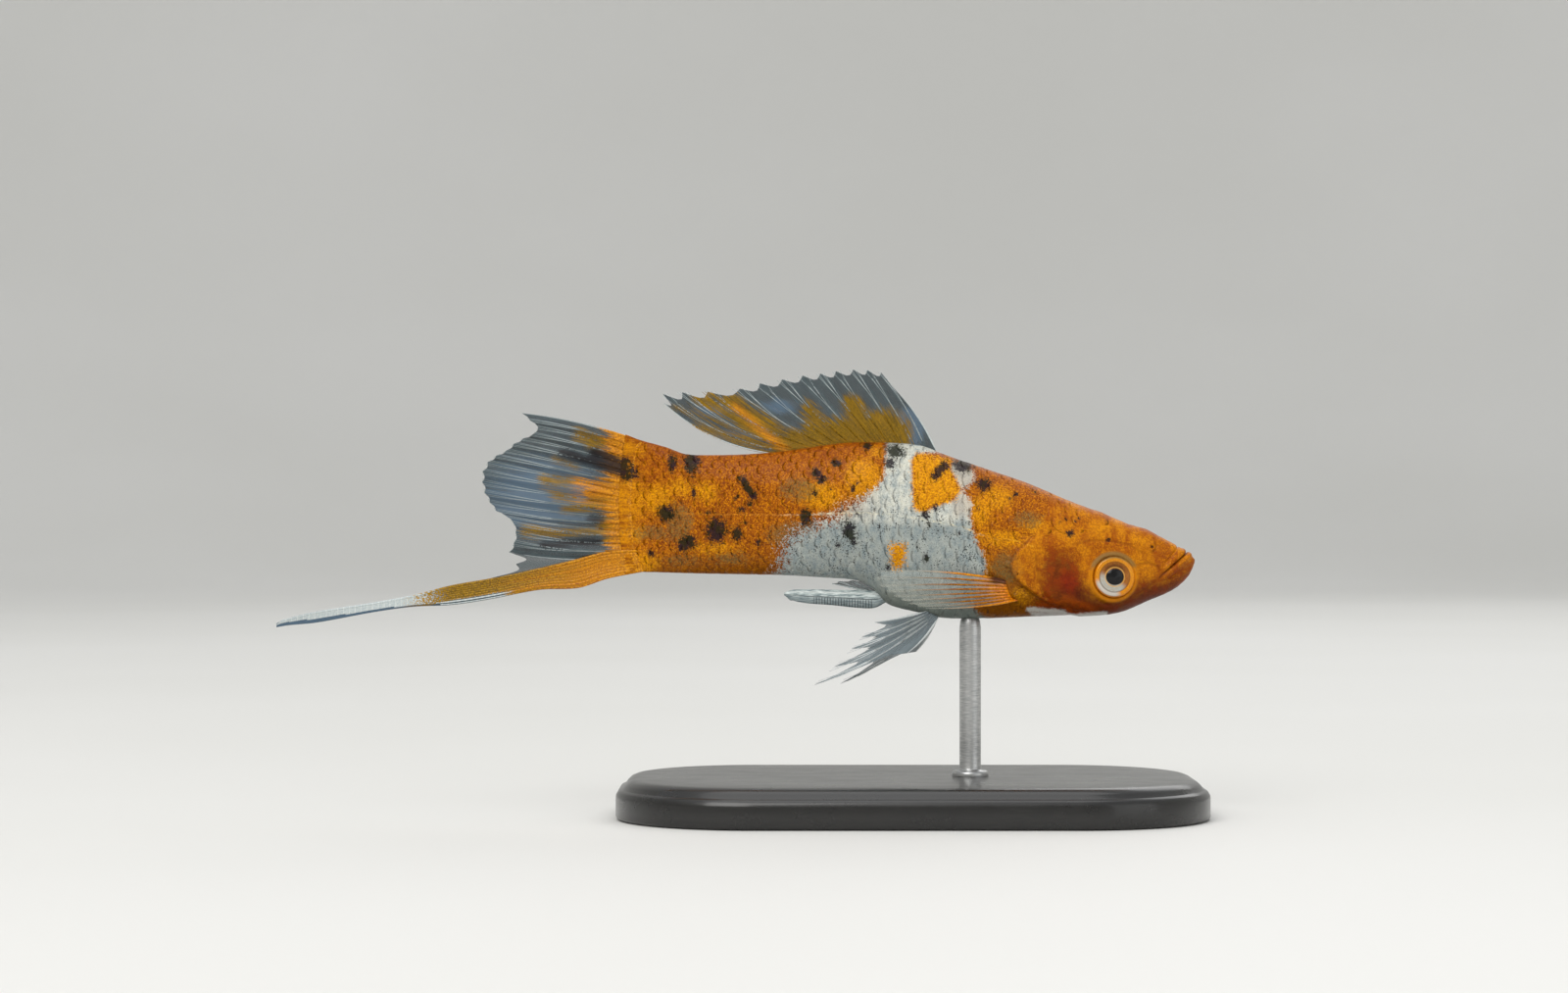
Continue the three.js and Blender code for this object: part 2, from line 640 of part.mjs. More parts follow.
const fish = new THREE.Group();
fish.position.set(FISH_AHEAD, 0, FISH_HEIGHT);
for (const [name, solid, material] of [
  ["head", head, MATERIALS.orange],
  ["lower_jaw", lowerJaw, MATERIALS.orange],
  ["gill_cover_right", gillCoverRight, MATERIALS.orange],
  ["gill_cover_left", gillCoverLeft, MATERIALS.orange],
  ["eye_right", eyes[0], MATERIALS.eye],
  ["eye_left", eyes[1], MATERIALS.eye],
  ["trunk", trunk, MATERIALS.pale],
  ["tail_stalk", stalk, MATERIALS.orange],
  ["dorsal_fin", dorsalFin, MATERIALS.finWeb],
  ["tail_fin", tailFin, MATERIALS.finWeb],
  ["sword", sword, MATERIALS.swordYellow],
  ["gonopodium", gonopodium, MATERIALS.finWeb],
  ["pelvic_fin_right", pelvicRight, MATERIALS.finWeb],
  ["pelvic_fin_left", pelvicLeft, MATERIALS.finWeb],
  ["pectoral_fin_right", pectoralRight, MATERIALS.finWeb],
  ["pectoral_fin_left", pectoralLeft, MATERIALS.finWeb],
]) {
  fish.add(swayed(node(name, solid, material)));
}

const display = new THREE.Group();
display.add(
  node("stand_base", solidOf(roundedPlate(BASE)), MATERIALS.base),
  node("stand_rod", standRod, MATERIALS.steel),
  fish,
);

export default display;
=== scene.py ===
"""A life-size museum model of a swordtail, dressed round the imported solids.

Shapes are worked out in millimetres in the fish's own frame: x runs towards the snout, z up from the
belly, y to the left flank. in_frame() puts them where the solids are, in metres.
"""
import math

import bpy
import numpy as np
from bpy.props import FloatProperty, FloatVectorProperty, IntProperty, PointerProperty
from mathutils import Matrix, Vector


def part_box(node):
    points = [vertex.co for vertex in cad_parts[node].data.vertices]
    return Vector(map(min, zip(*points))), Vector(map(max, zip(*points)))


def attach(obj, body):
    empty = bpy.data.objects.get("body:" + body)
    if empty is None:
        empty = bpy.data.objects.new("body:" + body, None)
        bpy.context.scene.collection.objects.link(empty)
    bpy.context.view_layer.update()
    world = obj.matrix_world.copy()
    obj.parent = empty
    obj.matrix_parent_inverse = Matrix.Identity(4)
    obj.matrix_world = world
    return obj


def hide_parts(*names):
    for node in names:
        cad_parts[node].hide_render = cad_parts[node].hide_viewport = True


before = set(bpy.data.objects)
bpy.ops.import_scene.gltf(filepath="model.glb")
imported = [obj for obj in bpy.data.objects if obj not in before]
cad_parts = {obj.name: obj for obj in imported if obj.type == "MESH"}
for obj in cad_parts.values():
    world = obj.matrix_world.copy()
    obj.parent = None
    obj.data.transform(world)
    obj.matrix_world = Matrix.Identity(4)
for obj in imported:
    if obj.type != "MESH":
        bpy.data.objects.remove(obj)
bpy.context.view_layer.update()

bl_info = {
    "name": "Swordtail model",
    "version": (1, 0, 0),
    "blender": (4, 5, 0),
    "location": "View3D > Sidebar > Swordtail",
    "description": "Skin, scales, fins, eyes and stand of a life-size swordtail",
    "category": "Add Mesh",
}

BODY = "root"
MM = 0.001

# The fish's main lengths, in millimetres along x
SNOUT_X = 22.85
SKIN_END_X = -35.2
SWORD_TIP_X = -71.2
SWAY_START_X = -12
SWAY_AT_TIP = 3

EYE_AT = (14.3, 4.35)
EYE_RADIUS = 2.16

# The body's outline and girth along x
BACK_LINE = [
    (-35.6, 19), (-33.5, 18.3), (-31, 17.6), (-29, 16.9), (-26, 16.8), (-21, 17), (-17, 17.5), (-13, 18.05),
    (-9, 18.1), (-5, 17.8), (-3, 17), (1, 15.6), (6, 13.9), (10, 12.2), (13, 11.05), (16, 9.75), (18, 9.15),
    (19.2, 8.5), (21, 7.55), (21.8, 7), (22.4, 6.6), (22.85, 6.15),
]
BELLY_LINE = [
    (-35.6, 4.5), (-33.5, 4.7), (-29, 4.6), (-24, 4.5), (-19, 4.4), (-14, 4.1), (-12, 3.95), (-10.8, 3.6),
    (-9.7, 2.8), (-8.9, 1.8), (-7.8, 1.2), (-5, 0.55), (-2.8, 0.05), (1, 0), (7, 0.2), (11, 0.35),
    (14, 0.6), (17, 1.45), (19, 2.2), (20.5, 2.88), (21.6, 3.68), (22.25, 4.4), (22.65, 5.1), (22.85, 5.62),
]
HALF_WIDTH = [
    (-33.5, 0.75), (-31, 1.15), (-27, 1.7), (-21, 2.35), (-15, 3.05), (-9, 3.7), (-3, 4.1), (3, 4.25),
    (8, 4.1), (13, 3.65), (17, 3.05), (19.5, 2.5), (21.3, 2), (22.3, 1.45), (22.7, 1), (22.85, 0.6),
]
WIDEST_AT = [
    (-33.5, 0.5), (-20, 0.5), (-5, 0.55), (6, 0.5), (12, 0.44), (16, 0.46), (19, 0.6), (22.85, 0.6),
]
BACK_SQUARE = [
    (-33.5, 2.6), (-20, 2.1), (-5, 1.9), (4, 2.05), (12, 2.6), (18, 3.2), (21, 3.4), (22.85, 2.8),
]
BELLY_SQUARE = [(-33.5, 2.6), (-20, 2.2), (-8, 1.9), (2, 2.2), (10, 2.7), (14, 3), (18, 2.4), (22.85, 2.2)]

# Lines on the head, as x and z
GILL_LINE = [
    (8.6, 15), (7.6, 11.5), (6.2, 8.7), (4.5, 7), (3.85, 5.7), (4.1, 4.5), (5.1, 3.5), (7.2, 2), (11, 0.2),
    (13, -1.5),
]
CHEEK_LINE = [(6.4, 6.6), (6.5, 5.4), (6.8, 4), (7.2, 2.7), (8.2, 1.7), (10.2, 1), (12.6, 0.9)]
MOUTH_CORNER = (19.35, 4.56)
MOUTH_SLOPE = 0.85
NOSTRIL_LINE = [(18.55, 8), (18.75, 7.5), (18.6, 7.05), (18.2, 6.85)]
NOSTRIL_AT = (18.3, 7.4)
BROW_LINE = [(10.2, 7.7), (12.1, 8.05), (13.9, 8.05), (15.9, 7.6), (17.2, 6.9)]
UNDER_EYE_LINE = [(16.7, 5.6), (18, 5.75), (18.9, 5.35), (19.4, 4.75)]
JAW_LINE = [(19.3, 4.4), (17.6, 3.1), (15.5, 2), (13, 1.5)]
# Folds of the head as a line, its depth and its width
HEAD_FOLDS = (
    (NOSTRIL_LINE, 0.2, 0.11), (BROW_LINE, 0.09, 0.17), (UNDER_EYE_LINE, 0.12, 0.14), (JAW_LINE, 0.09, 0.17),
)
LATERAL_LINE = [
    (-30, 10.75), (-23, 10.65), (-17, 10.65), (-13, 10.85), (-9, 10.75), (-6.2, 10.45), (-4.2, 10.05),
    (-1.1, 9.45), (0.5, 8.75), (2.2, 8.25), (4.3, 8.05), (6.1, 7.5),
]

# Edges of the coloured areas, as x and z
PALE_AREA = [
    (-8.5, 19), (-3, 19), (-3.2, 17), (-5.5, 16.8), (-6, 16.1), (-5.8, 11.4), (-4.8, 11), (-4, 11.5),
    (-1.9, 12.2), (-1.2, 13.2), (-2.2, 15.3), (-1.9, 16.2), (0.3, 15.2), (0.4, 14.2), (-0.9, 13.2),
    (0, 11.8), (-0.2, 10.8), (0, 9.3), (0.3, 8.2), (1.1, 6.6), (1.4, 5.7), (1.2, 4.2), (0.6, 2.8),
    (0.2, 1.6), (0.5, 0.8), (2, -0.1), (1.5, -3), (-20.5, -3), (-19.9, 4.2), (-19.3, 5.4), (-19.1, 7),
    (-18.4, 8.4), (-16.8, 9.3), (-14.2, 10.2), (-12.8, 11.4), (-11.2, 12.1), (-9.7, 13.3), (-8.8, 14.6),
    (-8.7, 16.9),
]
YELLOW_AREAS = [
    [(-5.5, 16.8), (-1.9, 16.3), (-2.2, 15.3), (-1.2, 13.2), (-1.9, 12.2), (-4, 11.4), (-4.8, 10.9),
     (-5.8, 11.3), (-6, 16.1)],
    [(-8.3, 7.7), (-6.8, 7.7), (-6.7, 6.2), (-7.2, 5.2), (-8, 5.1)],
]
GOLD_SPOTS = [
    (0.8, 11, 1.4, 1.9), (3, 8.2, 3, 1), (2.6, 12.4, 1.8, 1.4), (-11, 14.2, 2.2, 2.4),
    (-15.2, 12.6, 2.4, 1.6), (-9.6, 17, 0.9, 0.8), (7.2, 9.3, 2.4, 1), (-31.8, 12.2, 1.6, 1.8),
    (-29.5, 13.4, 1.6, 1), (-27, 13, 1.4, 1.2), (13.4, 9.3, 2.2, 0.8), (17.2, 8, 1.3, 0.9),
    (5, 2.5, 1.1, 0.9), (-26.2, 7.2, 2.6, 0.7), (0.8, 5, 1, 2.2), (-34.8, 12.2, 2, 2.4),
    (-34.8, 8.8, 1.8, 1.3), (-35, 17.2, 1.8, 1.1), (-33.4, 5.8, 1.8, 1.2),
]
RUST_AREA = [
    (7.6, 7.2), (9.5, 7), (11, 5.2), (12.2, 2.5), (14, 1.9), (16, 2.5), (17, 4), (19.5, 4.3), (22.8, 6),
    (24, 4.7), (21, 2), (18.5, 0.6), (16, -0.6), (12, -2), (7, -2), (6.5, 1.6), (7.2, 3.1), (6.8, 5.2),
]
GILL_BLUSH = (9.7, 3.85, 0.95, 0.95)
OLIVE_SPOTS = [
    (-32.4, 8.8, 2.8, 0.75), (-17.6, 8.6, 3.2, 1.5), (-17.5, 13.2, 2, 1.2), (3.6, 5.4, 1.6, 1.6),
    (-29.4, 6, 1.6, 0.5), (8.6, 5.6, 1.4, 0.8), (5.6, 10.2, 1.6, 0.8), (-24.4, 6.2, 1.8, 0.6),
    (-29.7, 9.8, 1.5, 2),
]
THROAT_STREAKS = [[(5.8, 1.05), (9.4, 0.75)], [(6.3, 0.55), (10.5, 0.35), (13.6, 0.6)]]

# Black spots as x, z, half length, half height
BLACK_SPOTS = [
    (-35.1, 14.9, 1, 0.7), (-35.7, 15.7, 1.1, 0.9), (-31, 10.8, 0.8, 0.75), (-32.6, 6.7, 0.3, 0.35),
    (-28.4, 15.9, 0.7, 1.1), (-30.4, 15.9, 0.4, 0.8), (-28.2, 12.9, 0.2, 0.5), (-23.7, 12.6, 0.18, 0.18),
    (-24, 12.2, 0.18, 0.18), (-22.5, 11.8, 0.28, 0.28), (-23.3, 11.2, 0.3, 0.25), (-26.6, 10.9, 0.4, 0.15),
    (-22.9, 9.8, 0.25, 0.16), (-25.9, 9.1, 0.9, 1.1), (-23.8, 8.7, 0.45, 0.7), (-28.8, 7.8, 0.75, 0.65),
    (-29.5, 7.2, 0.3, 0.25), (-21.6, 7.8, 0.25, 0.3), (-16.8, 10.4, 0.55, 0.8), (-15.7, 14.9, 0.45, 0.5),
    (-15.2, 14.2, 0.45, 0.4), (-15.9, 12.8, 0.25, 0.35), (-13.7, 15.9, 0.45, 0.4), (-10.5, 17.6, 0.4, 0.35),
    (-7.7, 17.1, 0.9, 0.65), (-8.2, 15.9, 0.45, 0.55), (-12.4, 9.1, 0.6, 0.85), (-11.9, 8, 0.2, 0.45),
    (-12, 13.2, 0.2, 0.35), (-11.5, 13.8, 0.16, 0.3), (-14.2, 13.2, 0.17, 0.17), (-13.3, 10.9, 0.17, 0.17),
    (-12.6, 11.2, 0.17, 0.17), (-11.6, 10.7, 0.17, 0.17), (-9.8, 11.2, 0.16, 0.2), (-9.3, 9.6, 0.16, 0.25),
    (-13.6, 7.5, 0.2, 0.3), (-8.5, 5.3, 0.25, 0.3), (-4.6, 6.3, 0.25, 0.35), (-4.7, 10.7, 0.4, 0.35),
    (-4.4, 9.8, 0.2, 0.4), (-3.7, 11.4, 0.25, 0.4), (-0.8, 15.7, 1, 0.65), (1.2, 13.7, 0.7, 0.6),
    (4.5, 12.7, 0.25, 0.25), (3.9, 12.3, 0.17, 0.17), (0.6, 11.3, 0.2, 0.25), (-0.3, 11.1, 0.17, 0.17),
    (-1.3, 8.8, 0.16, 0.2), (-0.4, 9.9, 0.2, 0.15), (3, 10.9, 0.15, 0.15), (9.9, 8.8, 0.4, 0.3),
    (13.8, 8.1, 0.2, 0.15), (9, 9.9, 0.18, 0.18), (9.5, 10.2, 0.16, 0.16), (8.6, 9.6, 0.16, 0.16),
    (10.4, 10, 0.17, 0.17), (10.9, 10.3, 0.16, 0.16), (6.6, 12.9, 0.22, 0.2),
]
# Black streaks as from, to, half width
BLACK_STREAKS = [
    ((-23.3, 14.3), (-22.1, 12.5), 0.36), ((-2.7, 15.7), (-3.7, 14.5), 0.4), ((-29.4, 7.4), (-28.6, 8), 0.4),
    ((-12.4, 8.8), (-11.9, 7.8), 0.26),
]


# Where the fish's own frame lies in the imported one, from the eye's solid
EYE_LOW, EYE_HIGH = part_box("eye_right")
AHEAD = (EYE_LOW.x + EYE_HIGH.x) / 2 / MM - EYE_AT[0]
HEIGHT = (EYE_LOW.z + EYE_HIGH.z) / 2 / MM - EYE_AT[1]


def sway(x):
    """How far the rear of the fish swings to its left."""
    share = np.maximum(0, (SWAY_START_X - x) / (SWAY_START_X - SWORD_TIP_X))
    return SWAY_AT_TIP * share**2


def in_frame(points):
    """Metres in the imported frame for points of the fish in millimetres."""
    moved = np.array(points, dtype=float)
    moved[:, 1] += sway(moved[:, 0])
    return (moved + (AHEAD, 0, HEIGHT)) * MM


# Curves and fields


def through(points):
    """A smooth curve through points, as a function of the first coordinate."""
    at, value = (np.array(column, dtype=float) for column in zip(*points))
    slope = np.empty_like(value)
    slope[1:-1] = (value[2:] - value[:-2]) / (at[2:] - at[:-2])
    slope[0] = (value[1] - value[0]) / (at[1] - at[0])
    slope[-1] = (value[-1] - value[-2]) / (at[-1] - at[-2])

    def curve(x):
        x = np.clip(x, at[0], at[-1])
        i = np.clip(np.searchsorted(at, x, side="right") - 1, 0, len(at) - 2)
        span = at[i + 1] - at[i]
        t = (x - at[i]) / span
        rise = value[i] + (value[i + 1] - value[i]) * t * t * (3 - 2 * t)
        return rise + span * t * (1 - t) * (slope[i] * (1 - t) - slope[i + 1] * t)

    return curve


back_z = through(BACK_LINE)
belly_z = through(BELLY_LINE)
half_width = through(HALF_WIDTH)
widest_at = through(WIDEST_AT)
back_square = through(BACK_SQUARE)
belly_square = through(BELLY_SQUARE)


def smooth(low, high, value):
    """0 at low, 1 at high, and a soft climb between, whichever of them is greater."""
    t = np.clip((value - low) / (high - low), 0, 1)
    return t * t * (3 - 2 * t)


def bump(value, width):
    """1 where value is 0, fading out on both sides within about twice the width."""
    return np.exp(-((value / width) ** 2))


def spline(points, count):
    """count points at even steps along a smooth line through points."""
    p = np.array(points, dtype=float)
    p = np.vstack([2 * p[0] - p[1], p, 2 * p[-1] - p[-2]])
    t = np.linspace(0, 1, 24, endpoint=False)[:, None]
    pieces = [
        b + 0.5 * t * (c - a + t * (2 * a - 5 * b + 4 * c - d + t * (3 * (b - c) + d - a)))
        for a, b, c, d in zip(p, p[1:], p[2:], p[3:])
    ]
    dense = np.vstack([*pieces, p[-2:-1]])
    run = run_along(dense)
    steps = np.linspace(0, run[-1], count)
    return np.column_stack([np.interp(steps, run, dense[:, k]) for k in range(dense.shape[1])])


def run_along(points):
    """The way from the first point to each."""
    return np.concatenate([[0], np.cumsum(np.linalg.norm(np.diff(points, axis=0), axis=1))])


def line_distance(line, x, z):
    """Distance from x, z to a line of points, and the share of the line at the nearest point."""
    best = np.full(x.shape, np.inf)
    share = np.zeros(x.shape)
    count = len(line) - 1
    for i, ((x0, z0), (x1, z1)) in enumerate(zip(line, line[1:])):
        dx, dz = x1 - x0, z1 - z0
        t = np.clip(((x - x0) * dx + (z - z0) * dz) / (dx * dx + dz * dz), 0, 1)
        d = np.hypot(x - x0 - t * dx, z - z0 - t * dz)
        share = np.where(d < best, (i + t) / count, share)
        best = np.minimum(best, d)
    return best, share


def area_field(edge, x, z):
    """Distance inside an area's edge, negative outside."""
    ring = [*edge, edge[0]]
    distance, _ = line_distance(ring, x, z)
    inside = np.zeros(x.shape, dtype=bool)
    for (x0, z0), (x1, z1) in zip(ring, ring[1:]):
        if z0 == z1:
            continue
        crosses = (z0 > z) != (z1 > z)
        inside ^= crosses & (x < x0 + (z - z0) * (x1 - x0) / (z1 - z0))
    return np.where(inside, distance, -distance)


def spot_field(spots, x, z):
    """Rough distance inside the nearest of some oval spots, negative outside."""
    field = np.full(x.shape, -9.0)
    for sx, sz, rx, rz in spots:
        reach = np.hypot((x - sx) / rx, (z - sz) / rz)
        field = np.maximum(field, (1 - reach) * min(rx, rz))
    return np.maximum(field, -3)


def blot_field(x, z):
    """1 in the middle of a black blotch, 0 at its edge and less outside, whatever its size."""
    field = np.full(x.shape, -3.0)
    for sx, sz, rx, rz in BLACK_SPOTS:
        field = np.maximum(field, 1 - np.hypot((x - sx) / rx, (z - sz) / rz))
    for start, end, radius in BLACK_STREAKS:
        field = np.maximum(field, 1 - line_distance([start, end], x, z)[0] / radius)
    return field


def streak_field(streaks, x, z):
    """Distance inside the nearest of some streaks, negative outside."""
    field = np.full(x.shape, -3.0)
    for start, end, radius in streaks:
        field = np.maximum(field, radius - line_distance([start, end], x, z)[0])
    return field


GILL_CURVE = spline(GILL_LINE, 60)


def ahead_of_gill(x, z):
    """Distance in front of the gill cover's rear edge, negative behind it."""
    distance, _ = line_distance(GILL_CURVE, x, z)
    edge_x = np.interp(z, GILL_CURVE[::-1, 1], GILL_CURVE[::-1, 0])
    return np.where(x > edge_x, distance, -distance)


def mouth_distance(x, z):
    """Distance over the line of the mouth, negative under it."""
    return (z - MOUTH_CORNER[1] - (x - MOUTH_CORNER[0]) * MOUTH_SLOPE) / math.hypot(1, MOUTH_SLOPE)


# The body's surface

# How deep the skin lies under the body shape, and how much deeper under scales
SKIN_DEPTH = 0.015
COAT_DEPTH = 0.1


def scaly(x, z):
    """1 where scales cover the skin: behind the gill cover and over the nape."""
    behind = smooth(0.1, -0.3, ahead_of_gill(x, z))
    nape = smooth(13.2, 12.2, x) * smooth(8.6, 9.4, z)
    return np.maximum(behind, nape)


def relief(x, z):
    """How far the skin stands out of the plain body shape, in millimetres."""
    # The gill cover's flap and the cheek's plate
    gill = ahead_of_gill(x, z)
    flap = smooth(-0.2, 1.2, z) * smooth(9.0, 7.4, z)
    rise = 0.24 * smooth(0.0, 0.16, gill) * smooth(6.5, 3.0, gill) * flap
    rise += flap * (0.04 * bump(gill - 0.3, 0.12) - 0.10 * bump(gill + 0.08, 0.12))
    cheek, along = line_distance(CHEEK_LINE, x, z)
    rise -= 0.13 * bump(cheek, 0.17) * smooth(0, 0.12, along) * smooth(1, 0.8, along)
    for line, depth, width in HEAD_FOLDS:
        away, along = line_distance(line, x, z)
        rise -= depth * bump(away, width) * smooth(0, 0.25, along) * smooth(1, 0.75, along)
    nostril = np.hypot(x - NOSTRIL_AT[0], z - NOSTRIL_AT[1])
    rise += 0.06 * bump(nostril - 0.34, 0.12) - 0.2 * bump(nostril, 0.17)

    # The lips and the folds over and under them
    mouth = mouth_distance(x, z)
    forward = smooth(MOUTH_CORNER[0] - 0.4, MOUTH_CORNER[0] + 0.8, x)
    lips = forward * smooth(22.9, 22.1, x)
    above, below = np.maximum(mouth, 0), np.maximum(-mouth, 0)
    upper_fold = 0.58 + 0.3 * (x - 19.5)
    lower_fold = 0.46 + 0.22 * (x - 20)
    rise -= 0.28 * bump(mouth, 0.085) * forward
    rise += 0.17 * bump(above - 0.36, 0.27) * lips * (mouth > -0.02)
    rise += 0.22 * bump(below - 0.40, 0.28) * lips * (mouth < 0.02)
    rise -= 0.17 * bump(mouth - upper_fold, 0.14) * forward
    rise -= 0.15 * bump(mouth + lower_fold + 0.32, 0.16) * lips

    # The eye's socket with its rim and lid
    out = np.hypot(x - EYE_AT[0], z - EYE_AT[1])
    over = smooth(-0.1, 0.5, (z - EYE_AT[1]) / np.maximum(out, 0.01) - 0.15 * (x - EYE_AT[0]))
    rise -= 0.8 * smooth(EYE_RADIUS, 1.85, out)
    rise += 0.13 * bump(out - 2.36, 0.15)
    lid = 0.12 * bump(out - 2.2, 0.2) + 0.05 * bump(out - 2.75, 0.16) - 0.05 * bump(out - 2.52, 0.07)
    rise += over * lid
    rise -= 0.04 * bump(out - 2.8, 0.14)

    # The muscle at the pectoral fin's root, and soft waves over the head
    pad = bump(np.hypot((x - 4.2) / 0.9, (z - 2.8) / 1.1), 0.8)
    rise += 0.42 * pad
    head = smooth(-1, 2, gill)
    waves = np.sin(x * 2.1 + z * 1.3) * np.sin(z * 2.7 - x * 0.8) + np.sin(x * 4.9 - 1) * np.sin(z * 5.3 + x)
    rise += 0.012 * waves * head * smooth(2.1, 2.8, out)
    return rise - COAT_DEPTH * scaly(x, z) * (1 - pad) - SKIN_DEPTH


class Surface:
    """The right flank's skin as a table over x and the share of the way from back to belly."""

    def __init__(self, xs, shares):
        self.xs, self.shares = xs, shares
        turns = np.radians(np.linspace(90, -90, 541))
        side, up = np.abs(np.cos(turns)), np.sin(turns)
        side[[0, -1]] = 0
        base = np.empty((len(xs), len(shares), 3))
        for i, x in enumerate(xs):
            top, bottom = back_z(x), belly_z(x)
            middle = bottom + (top - bottom) * widest_at(x)
            power = 2 / np.where(up > 0, back_square(x), belly_square(x))
            reach = np.where(up > 0, top - middle, middle - bottom)
            z = middle + reach * np.sign(up) * np.abs(up) ** power
            y = half_width(x) * side**power
            run = run_along(np.column_stack([y, z]))
            steps = shares * run[-1]
            base[i, :, 0] = x
            base[i, :, 1] = np.interp(steps, run, y)
            base[i, :, 2] = np.interp(steps, run, z)
        # The stalk ends in a bowed edge and thins out into the tail fin
        level = (base[..., 2] - 11.5) / 7.2
        base[..., 0] -= smooth(-31.8, -35.6, base[..., 0]) * 0.7 * (1 - level**2)
        base[..., 1] *= 1 - 0.96 * smooth(-31.0, SKIN_END_X, xs[:, None])
        self.base = base
        self.normal = self.normals_of(base)
        rise = relief(base[..., 0], base[..., 2])
        self.points = base + self.normal * rise[..., None]
        self.points[:, [0, -1], 1] = 0

    @staticmethod
    def normals_of(points):
        """Outward directions of a grid of points, level on the midlines."""
        along = np.gradient(points, axis=0)
        around = np.gradient(points, axis=1)
        normal = np.cross(along, around)
        normal[:, [0, -1], 1] = 0
        size = np.linalg.norm(normal, axis=2, keepdims=True)
        return normal / np.maximum(size, 1e-9)

    def at(self, x, share):
        """Skin points and outward directions at x and share, which passes a midline into the left flank."""
        x, share = np.broadcast_arrays(x, share)
        flipped = (share < 0) | (share > 1)
        share = np.where(share < 0, -share, np.where(share > 1, 2 - share, share))
        i = np.interp(x, self.xs, np.arange(len(self.xs)))
        j = np.interp(share, self.shares, np.arange(len(self.shares)))
        i0 = np.clip(i.astype(int), 0, len(self.xs) - 2)
        j0 = np.clip(j.astype(int), 0, len(self.shares) - 2)
        a, b = (i - i0)[..., None], (j - j0)[..., None]

        def mixed(table):
            low = table[i0, j0] * (1 - b) + table[i0, j0 + 1] * b
            high = table[i0 + 1, j0] * (1 - b) + table[i0 + 1, j0 + 1] * b
            found = low * (1 - a) + high * a
            found[..., 1] *= np.where(flipped, -1, 1)
            return found

        return mixed(self.points), mixed(self.normal)


def make_surface():
    """The flank's skin, finest round the mouth."""
    body = np.arange(SKIN_END_X, 9.0, 0.15)
    head = np.arange(9.0, 18.5, 0.09)
    mouth = np.linspace(18.5, SNOUT_X, 70)
    return Surface(np.concatenate([body, head, mouth]), np.linspace(0, 1, 131))


# The markings, alike for the skin and the scales


def markings(points):
    """Signed fields in millimetres that the materials turn into colours."""
    own_x, y, own_z = (points[:, k] for k in range(3))
    # The left flank's pattern is the right one's, bent and moved along
    left = smooth(0.0, 1.6, y)
    x = own_x + left * (0.9 * np.sin(0.5 * own_z + 0.6) + 0.5)
    z = own_z + left * 0.6 * np.sin(0.45 * x + 1.0)
    line, along = line_distance(spline(LATERAL_LINE, 60), x, z)
    throat = np.minimum(*(line_distance(s, x, z)[0] for s in THROAT_STREAKS))
    yellow = np.maximum(*(area_field(a, x, z) for a in YELLOW_AREAS))
    orbit = np.hypot(own_x - EYE_AT[0], own_z - EYE_AT[1])
    folds = [fold[0] for fold in HEAD_FOLDS] + [CHEEK_LINE]
    groove = np.min([line_distance(fold, own_x, own_z)[0] for fold in folds], axis=0)
    mouth = np.abs(mouth_distance(own_x, own_z)) + 3 * (own_x < 19.0)
    return {
        "pale": np.clip(area_field(PALE_AREA, x, z), -3, 3),
        "yellow": np.clip(yellow, -3, 3),
        "gold": np.clip(spot_field(GOLD_SPOTS, x, z), -1, 1),
        "rust": np.clip(area_field(RUST_AREA, own_x, own_z), -3, 3),
        "blush": spot_field([GILL_BLUSH], x, z),
        "olive": np.clip(spot_field(OLIVE_SPOTS, x, z), -1, 1),
        "black": blot_field(x, z),
        "groove": np.clip(groove, 0, 1),
        "nostril": np.minimum(np.hypot(own_x - NOSTRIL_AT[0], own_z - NOSTRIL_AT[1]), 2),
        "line": np.clip(0.15 - line, -1, 1),
        "line_front": along,
        "throat": np.clip(0.3 - throat, -1, 1),
        "orbit": orbit,
        "orbit_up": (own_z - EYE_AT[1]) / np.maximum(orbit, 0.01),
        "gill": np.clip(ahead_of_gill(own_x, own_z), -2, 2),
        "height": own_z,
        "mouth": np.clip(mouth, 0, 2),
    }


# Meshes


def mesh_object(name, points, faces, fields=None, smooth_faces=None, material=None, slot=None, nodes=()):
    """A piece from points in millimetres of the fish and lists of faces with three or four corners."""
    return world_object(
        name, in_frame(points), faces, {"place": np.array(points, dtype=float), **(fields or {})},
        smooth_faces, material, slot, nodes,
    )


def world_object(name, points, faces, fields=None, smooth_faces=None, material=None, slot=None, nodes=()):
    """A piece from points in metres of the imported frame, which rides on the body if it has a slot."""
    mesh = bpy.data.meshes.new(name)
    corners = np.concatenate([np.asarray(f).ravel() for f in faces]).astype(np.int32)
    sizes = np.concatenate([np.full(len(f), np.shape(f)[1]) for f in faces])
    mesh.vertices.add(len(points))
    mesh.vertices.foreach_set("co", np.asarray(points, dtype=np.float32).ravel())
    mesh.loops.add(len(corners))
    mesh.loops.foreach_set("vertex_index", corners)
    mesh.polygons.add(len(sizes))
    mesh.polygons.foreach_set("loop_start", (np.cumsum(sizes) - sizes).astype(np.int32))
    smoothed = np.ones(len(sizes), dtype=bool) if smooth_faces is None else smooth_faces
    mesh.polygons.foreach_set("use_smooth", smoothed)
    mesh.update(calc_edges=True)
    for field, values in (fields or {}).items():
        values = np.asarray(values, dtype=np.float32)
        kind, key = ("FLOAT_VECTOR", "vector") if values.ndim == 2 else ("FLOAT", "value")
        mesh.attributes.new(field, kind, "POINT").data.foreach_set(key, values.ravel())
    mesh.validate()
    piece = bpy.data.objects.new(name, mesh)
    bpy.context.scene.collection.objects.link(piece)
    if material:
        mesh.materials.append(material)
    if slot:
        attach(piece, BODY)
    if nodes:
        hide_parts(*nodes)
    return piece


